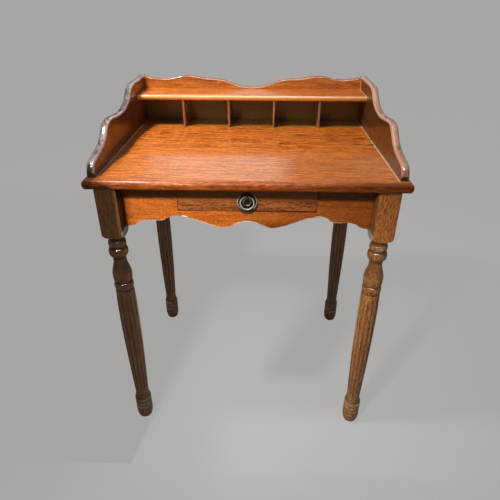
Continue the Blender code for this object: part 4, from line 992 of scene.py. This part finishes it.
def shelf_marks(at, colour):
    """The shelf's nose painted lighter, a painted highlight along its upper edge, and the pale line at its
    right joint.
    """
    ahead = at.step(at.y, 0.1496, 0.1535, 1.0, 0.0)
    uneven = at.step(at.noise((30, 90, 90), 3.0), 0.30, 0.58, 0.45, 0.95)
    # A painted highlight along the nose's upper edge.
    nose_highlight = at.times(at.times(ahead, at.step(at.z, 0.8285, 0.8303)), uneven)
    # Painted light: the whole nose lighter.
    colour = at.blend(at.times(ahead, 0.8), colour, rgb(1.0, 0.46, 0.10))
    right_joint = at.step(at.x, JOINT_X - 0.001, JOINT_X, 0.0, 0.85)
    return at.blend(at.sums("MAXIMUM", nose_highlight, right_joint), colour, PALE_LINE)


def painted_side_shade(at, colour):
    """Painted shade darkens the gallery sides, the right one more, all but their outer faces."""
    inward = at.step(at.size(at.x), GALLERY_OUTER_X - 0.004, GALLERY_OUTER_X - 0.001, 1.0, 0.0)
    tone = at.blend(at.step(at.x, -0.1, 0.1), rgb(0.225, 0.31, 0.50), rgb(0.17, 0.25, 0.42))
    return at.tint(inward, colour, tone)


def on_inner_face(at):
    """A good half on the gallery sides' inner faces, whose varnish is duller than their rims'."""
    return at.step(at.size(at.x), GALLERY_INNER_X + 0.0003, GALLERY_INNER_X + 0.0015, 0.6, 0.0)


def rear_marks(at, colour):
    """The gallery's back: painted shade inside the pigeonholes below the shelf, with a pale line at its
    right joint.
    """
    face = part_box("back_gallery")[0].y
    inside = at.step(at.y, face + 0.001, face + 0.003, 0.9, 0.0)
    # Painted shade below the shelf.
    shade_below_shelf = at.times(inside, at.step(at.z, 0.815, 0.822, 1.0, 0.0))
    right_joint = at.step(at.x, 0.3150, 0.3160, 0.0, 0.75)
    return at.blend(shade_below_shelf, at.blend(right_joint, colour, PALE_LINE), HOLE_SHADE)


def paint(piece, material):
    """Gives a piece its material."""
    piece.data.materials.clear()
    piece.data.materials.append(material)


def paint_node(name, material):
    """Gives a CAD node's slots another material."""
    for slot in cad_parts[name].material_slots:
        slot.material = material


def frame_wood(name, turn, shift, grain=None, light=FRAME_LIGHT, dark=FRAME_DARK, **settings):
    """The orange-brown varnish of the gallery and the aprons."""
    return wood(name, turn, shift, light, dark, WARM_PORE, grain, **settings)


def build_gallery():
    """Makes and paints the top and all that stands on it. A shift takes each board from its own log."""
    top_grain = {"Pith Side": 0.05, "Pith Depth": 0.10, "Ring Spacing": 0.016, "Along": 1.0,
                 "Across": 0.8, "Rings": 0.25, "Bands": 0.36, "Streaks": 0.95, "Specks": 0.70}
    paint(top_board(), wood("top_varnish", ALONG_X, (0.3, 0.0, -0.745), TOP_LIGHT, TOP_DARK, WARM_PORE,
                            top_grain, worn=rgb(0.80, 0.42, 0.24), wear=0.22,
                            edge_tint=rgb(0.72, 0.60, 0.50), marks=top_marks, dull=dull_top))
    side_grain = {"Bands": 0.4, "Streaks": 0.8, "Along": 0.7}
    # The rims' worn colours stand partly for wear and partly for painted reflection: lavender grey on the
    # left, pinkish brown on the right.
    rims = (("left", rgb(0.62, 0.48, 0.46), 0.6), ("right", rgb(0.56, 0.28, 0.17), 0.8))
    for number, (end, worn, wear) in enumerate(rims):
        paint(gallery_side(end), frame_wood(
            f"gallery_side_varnish_{number}", ALONG_Y, (0.7 + number, 0.2 * number, -0.8), side_grain,
            coat=1.0, coat_roughness=0.08, coat_ior=1.6, worn=worn, wear=wear, marks=painted_side_shade,
            dull=on_inner_face))
    # Its edge tint darkens the rounded upper edge as a painted shadow line, and its pale worn patches are
    # partly a painted highlight.
    paint(gallery_back(), frame_wood(
        "gallery_back_varnish", ALONG_X, (1.9, 0.3, -0.8), light=BACK_LIGHT, dark=BACK_DARK,
        worn=rgb(0.60, 0.44, 0.37), wear=0.34, edge_tint=rgb(0.70, 0.60, 0.58), marks=rear_marks))
    paint(shelf(), frame_wood(
        "shelf_varnish", ALONG_X, (3.1, 0.1, -0.83), {"Across": 0.6}, light=TOP_LIGHT, dark=TOP_DARK,
        wear=0.1, marks=shelf_marks, dull=dull_shelf))
    divider_wood = frame_wood("divider_varnish", ALONG_Z, (0.4, 0.9, 0.5), light=DIVIDER_LIGHT,
                              dark=LEG_DARK, wear=0.1)
    for number in range(1, 5):
        paint(divider(number), divider_wood)


def build_frame():
    """Makes and paints the aprons, the drawer front and the legs."""
    grain = {"Rings": 0.1, "Bands": 0.25, "Streaks": 0.3, "Specks": 0.6, "Along": 2.0, "Across": 1.1}
    paint(front_apron(), frame_wood("apron_varnish", ALONG_X, (5.2, 0.25, -0.66), grain,
                                    worn=rgb(0.85, 0.65, 0.42), wear=0.72, marks=apron_marks))
    for number, (side, end) in enumerate(((-1, "left"), (1, "right"))):
        paint(side_apron(side, end), frame_wood(f"side_apron_varnish_{number}", ALONG_Y,
                                                (6.1 + number, 0.3, -0.66), grain))
    paint(back_apron(), frame_wood("rear_apron_varnish", ALONG_X, (8.3, 0.4, -0.66), grain))
    drawer_grain = {"Rings": 0.15, "Bands": 0.4, "Streaks": 0.8, "Specks": 0.8, "Along": 1.3, "Across": 1.1}
    paint(drawer_face(), frame_wood("drawer_varnish", ALONG_X, (9.7, 0.2, -0.69), drawer_grain,
                                    light=DRAWER_LIGHT, dark=DRAWER_DARK, wear=0.0,
                                    edge_tint=rgb(0.8, 0.75, 0.70), marks=drawer_painted_shading))
    turned = leg_surface(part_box("leg_front_left")[1].z)
    # The front right leg has strong specks and lighter grooves as the light shows them; the other legs'
    # softer specks and darker grooves are painted shade.
    legs = (("front_left", 0.20, 0.95), ("front_right", 0.60, 0.72), ("back_left", 0.20, 0.95),
            ("back_right", 0.20, 0.95))
    for number, (place, strokes, dirt_shade_amount) in enumerate(legs):
        leg_grain = {"Pith Depth": 0.03, "Rings": 0.1, "Bands": 0.15, "Streaks": 0.25,
                     "Specks": strokes, "Pores": strokes + 0.2}
        paint(leg(place, *turned), wood(
            f"leg_varnish_{number}", ALONG_Z, (number * 1.3, number * 0.7, 0.4), LEG_LIGHT, LEG_DARK,
            DARK_PORE, leg_grain, coat=1.0, coat_roughness=0.12, coat_ior=1.75,
            worn=rgb(0.85, 0.72, 0.56), wear=0.62, dirt_shade_amount=dirt_shade_amount, bump=0.15, marks=leg_marks,
            dull=beside_apron))


def build_pull():
    """Makes and paints the pull."""
    old_metal = metal("old_metal", rgb(0.10, 0.085, 0.060), rgb(0.62, 0.52, 0.40), 0.40, 0.75)
    paint(pull_plate(), old_metal)
    paint(pull_ring(), metal("ring_metal", rgb(0.075, 0.062, 0.042), rgb(0.62, 0.57, 0.46), 0.30, 0.9))
    eye_metal = metal("eye_metal", rgb(0.12, 0.10, 0.07), rgb(0.70, 0.65, 0.55), 0.25, 1.0, 0.35)
    paint_node("pull_eye_bolt", eye_metal)
    paint_node("pull_nut", old_metal)


def paint_hidden_nodes():
    """Bare wood inside the frame and the drawer, plain steel for the screws."""
    cuts = (("across", ALONG_X, (0.2, 0.4, 0.1)), ("lengthways", ALONG_Y, (1.2, 0.5, 0.3)))
    across, lengthways = (
        wood(f"bare_wood_{way}", turn, shift, RAW_LIGHT, RAW_DARK, RAW_PORE, roughness=(0.62, 0.78),
             coat=0.0, wear=0.0)
        for way, turn, shift in cuts)
    screws = metal("screw_steel", rgb(0.20, 0.19, 0.18), rgb(0.55, 0.54, 0.52), 0.38, 0.3)
    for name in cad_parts:
        if "screw" in name:
            paint_node(name, screws)
        elif name.startswith(("drawer_side", "drawer_runner", "drawer_stop", "corner_block")):
            paint_node(name, lengthways)
        elif name in ("drawer_back", "drawer_bottom"):
            paint_node(name, across)


# The camera, the light and the floor.

def turned_object(name, data, right, up, ahead, place):
    """An object at a place that looks ahead, its right and upper sides where the vectors point."""
    made = new_object(name, data)
    matrix = np.eye(4)
    matrix[:3] = np.stack([right, up, -ahead, place], axis=-1)
    made.matrix_world = Matrix(matrix.tolist())
    return made


def camera():
    """The camera, where the lines measured in the picture put it."""
    yaw, pitch, roll = math.radians(-1.3984), math.radians(30.3911), math.radians(0.1887)
    ahead = np.array([math.sin(yaw) * math.cos(pitch), math.cos(yaw) * math.cos(pitch), -math.sin(pitch)])
    level = np.array([math.cos(yaw), -math.sin(yaw), 0.0])
    upright = np.cross(level, ahead)
    right = level * math.cos(roll) + upright * math.sin(roll)
    up = -level * math.sin(roll) + upright * math.cos(roll)
    data = bpy.data.cameras.new("camera")
    data.lens = 32.0726
    data.sensor_width = 36.0
    bpy.context.scene.camera = turned_object("camera", data, right, up, ahead, (0.02851, -1.12338, 1.08669))


WARM_WHITE = (1.0, 0.97, 0.93)
HAZE_WHITE = (1.0, 0.97, 0.92)
SKY_BLUE = (0.84, 0.90, 1.0)
CARD_DEPTH = -0.40  # the plane of the upright cards, in front of the desk
HAZE_STEP = 0.02  # from one haze panel to the next, away from the desk
HAZE_RISE = 0.007  # keeps the panels' mirrored images at one level


def soft_light(name, place, aim, size, power, colour=WARM_WHITE, spread=180.0, shape="RECTANGLE"):
    """A lamp of some size that looks at a point and isn't seen itself."""
    data = bpy.data.lights.new(name, "AREA")
    data.shape = shape
    data.size, data.size_y = size
    data.energy = power
    data.color = colour
    data.spread = math.radians(spread)
    ahead = unit(np.array(aim, dtype=float) - np.array(place, dtype=float))
    across = unit(np.cross(ahead, (0.0, 0.0, 1.0)))
    lamp = turned_object(name, data, across, np.cross(across, ahead), ahead, place)
    lamp.visible_camera = False
    return lamp


def panel(name, place, aim, size, power, colour, **options):
    """A soft light that only gives the varnish something to mirror."""
    soft_light(name, place, aim, size, power, colour, **options).visible_diffuse = False


def staged_sheet(name, corners):
    """A flat sheet that belongs to the surroundings."""
    mesh = bpy.data.meshes.new(name)
    mesh.from_pydata(corners, [], [tuple(range(len(corners)))])
    sheet = new_object(name, mesh)
    return sheet


def card(name, corners):
    """A black card that only casts a shadow, to keep a lamp off a part of the desk."""
    sheet = staged_sheet(name, corners)
    material, _, surface = new_material(name)
    surface["Base Color"].default_value = rgb(0.01, 0.01, 0.01)
    paint(sheet, material)
    sheet.visible_camera = False
    sheet.visible_diffuse = False
    sheet.visible_glossy = False


def upright_card(name, left, right, bottom, top):
    """A card that stands in front of the desk."""
    card(name, [(x, CARD_DEPTH, z) for x, z in ((left, bottom), (right, bottom), (right, top), (left, top))])


def lights():
    """A high lamp from the left, a lower one from the front, and soft panels for the varnish to mirror.

    The high card keeps the high lamp off the desk's left end. The upright cards keep the front lamp
    off the front's left end, the top and the right back leg. The three haze panels lie over each
    other in the varnish and so fade the pale haze's ends. They stand apart in depth, because of
    panels that overlap in one plane only one would be mirrored.
    """
    soft_light("high_lamp", (-0.75, -0.35, 2.10), (-0.28, 0.0, SURFACE_LEVEL), (0.16, 0.16), 9.9, spread=100)
    card("high_card", [(-0.434, -0.90, 1.0), (-0.350, 0.36, 1.0), (-1.9, 0.9, 1.0), (-1.9, -1.6, 1.0)])
    soft_light("front_lamp", (-0.45, -1.15, 1.50), (-0.08, -0.23, 0.36), (0.12, 0.12), 2.3, spread=50)
    upright_card("front_card", -1.4, -0.303, -0.2, 1.6)
    upright_card("brow_card", -1.4, 1.4, 0.850, 1.075)
    upright_card("low_card", -0.10, 0.03, 0.45, 0.790)
    panel("low_panel", (-0.10, 1.9, 1.22), (-0.1, 0.0, 0.8), (2.4, 0.30), 0.85, (1.0, 0.88, 0.84),
          shape="ELLIPSE")
    for number, (left, right) in enumerate(((-0.62, 0.14), (-0.75, 0.20), (-0.84, 0.26))):
        middle, width, height = (left + right) / 2, right - left, 0.365
        place = (middle, 1.9 + HAZE_STEP * number, 1.584 + HAZE_RISE * number)
        panel(f"haze_panel_{number}", place, (middle, -0.2, SURFACE_LEVEL), (width, height),
              1.14 * width * height, HAZE_WHITE)
    panel("sky_panel", (-0.35, 0.35, 2.9), (-0.35, 0.20, SURFACE_LEVEL), (2.4, 1.6), 22, SKY_BLUE)
    panel("left_panel", (-1.3, 1.9, 2.3), (-0.33, 0.0, 0.8), (1.5, 1.0), 3, SKY_BLUE)
    panel("front_strip", (0.1, -1.2, 2.6), (0.1, -0.2, 0.6), (1.2, 0.5), 50, (1.0, 0.95, 0.90))


SEEN_GREY = rgb(0.385, 0.380, 0.370)


def ray_kinds(at):
    """One where the camera looks, and one where a glossy or clear surface does."""
    paths = at.add("LightPath", {}).outputs
    return paths["Is Camera Ray"], at.sums("MAXIMUM", paths["Is Glossy Ray"], paths["Is Transmission Ray"])


def surroundings():
    """A pale world: bright where it is seen, dim where it lights, dimmest where it is mirrored."""
    world = bpy.data.worlds.new("surroundings")
    bpy.context.scene.world = world
    world.use_nodes = True
    world.node_tree.nodes.clear()
    at = Shading(world.node_tree)
    seen, reflected = ray_kinds(at)
    looks = [at.add("Background", {"Color": colour, "Strength": strength}).outputs[0]
             for colour, strength in ((rgb(0.78, 0.82, 0.88), 0.24), (SEEN_GREY, 0.3), (SEEN_GREY, 1.0))]
    inner = at.add("MixShader", {0: reflected, 1: looks[0], 2: looks[1]}).outputs[0]
    outer = at.add("MixShader", {0: seen, 1: inner, 2: looks[2]}).outputs[0]
    at.add("OutputWorld", {"Surface": outer}).is_active_output = True


def floor():
    """A wide pale floor that keeps the desk's shadow."""
    reach = 9.0
    sheet = staged_sheet("studio_floor", [(x, y, -GLUE_GAP) for x, y in (
        (-reach, -reach), (reach, -reach), (reach, reach), (-reach, reach))])
    material = bpy.data.materials.new("studio_floor")
    material.use_nodes = True
    material.node_tree.nodes.clear()
    at = Shading(material.node_tree)
    seen, reflected = ray_kinds(at)
    lit = at.add("BsdfDiffuse", {"Color": rgb(0.12, 0.118, 0.114)}).outputs[0]
    strength = at.scaled(reflected, 0.12, at.times(seen, 0.94))
    glow = at.add("Emission", {"Color": SEEN_GREY, "Strength": strength}).outputs[0]
    at.add("OutputMaterial", {"Surface": at.add("AddShader", {0: lit, 1: glow}).outputs[0]})
    paint(sheet, material)


camera()
lights()
surroundings()
floor()
build_gallery()
build_frame()
build_pull()
paint_hidden_nodes()

scene = bpy.context.scene
scene.view_settings.view_transform = "Standard"
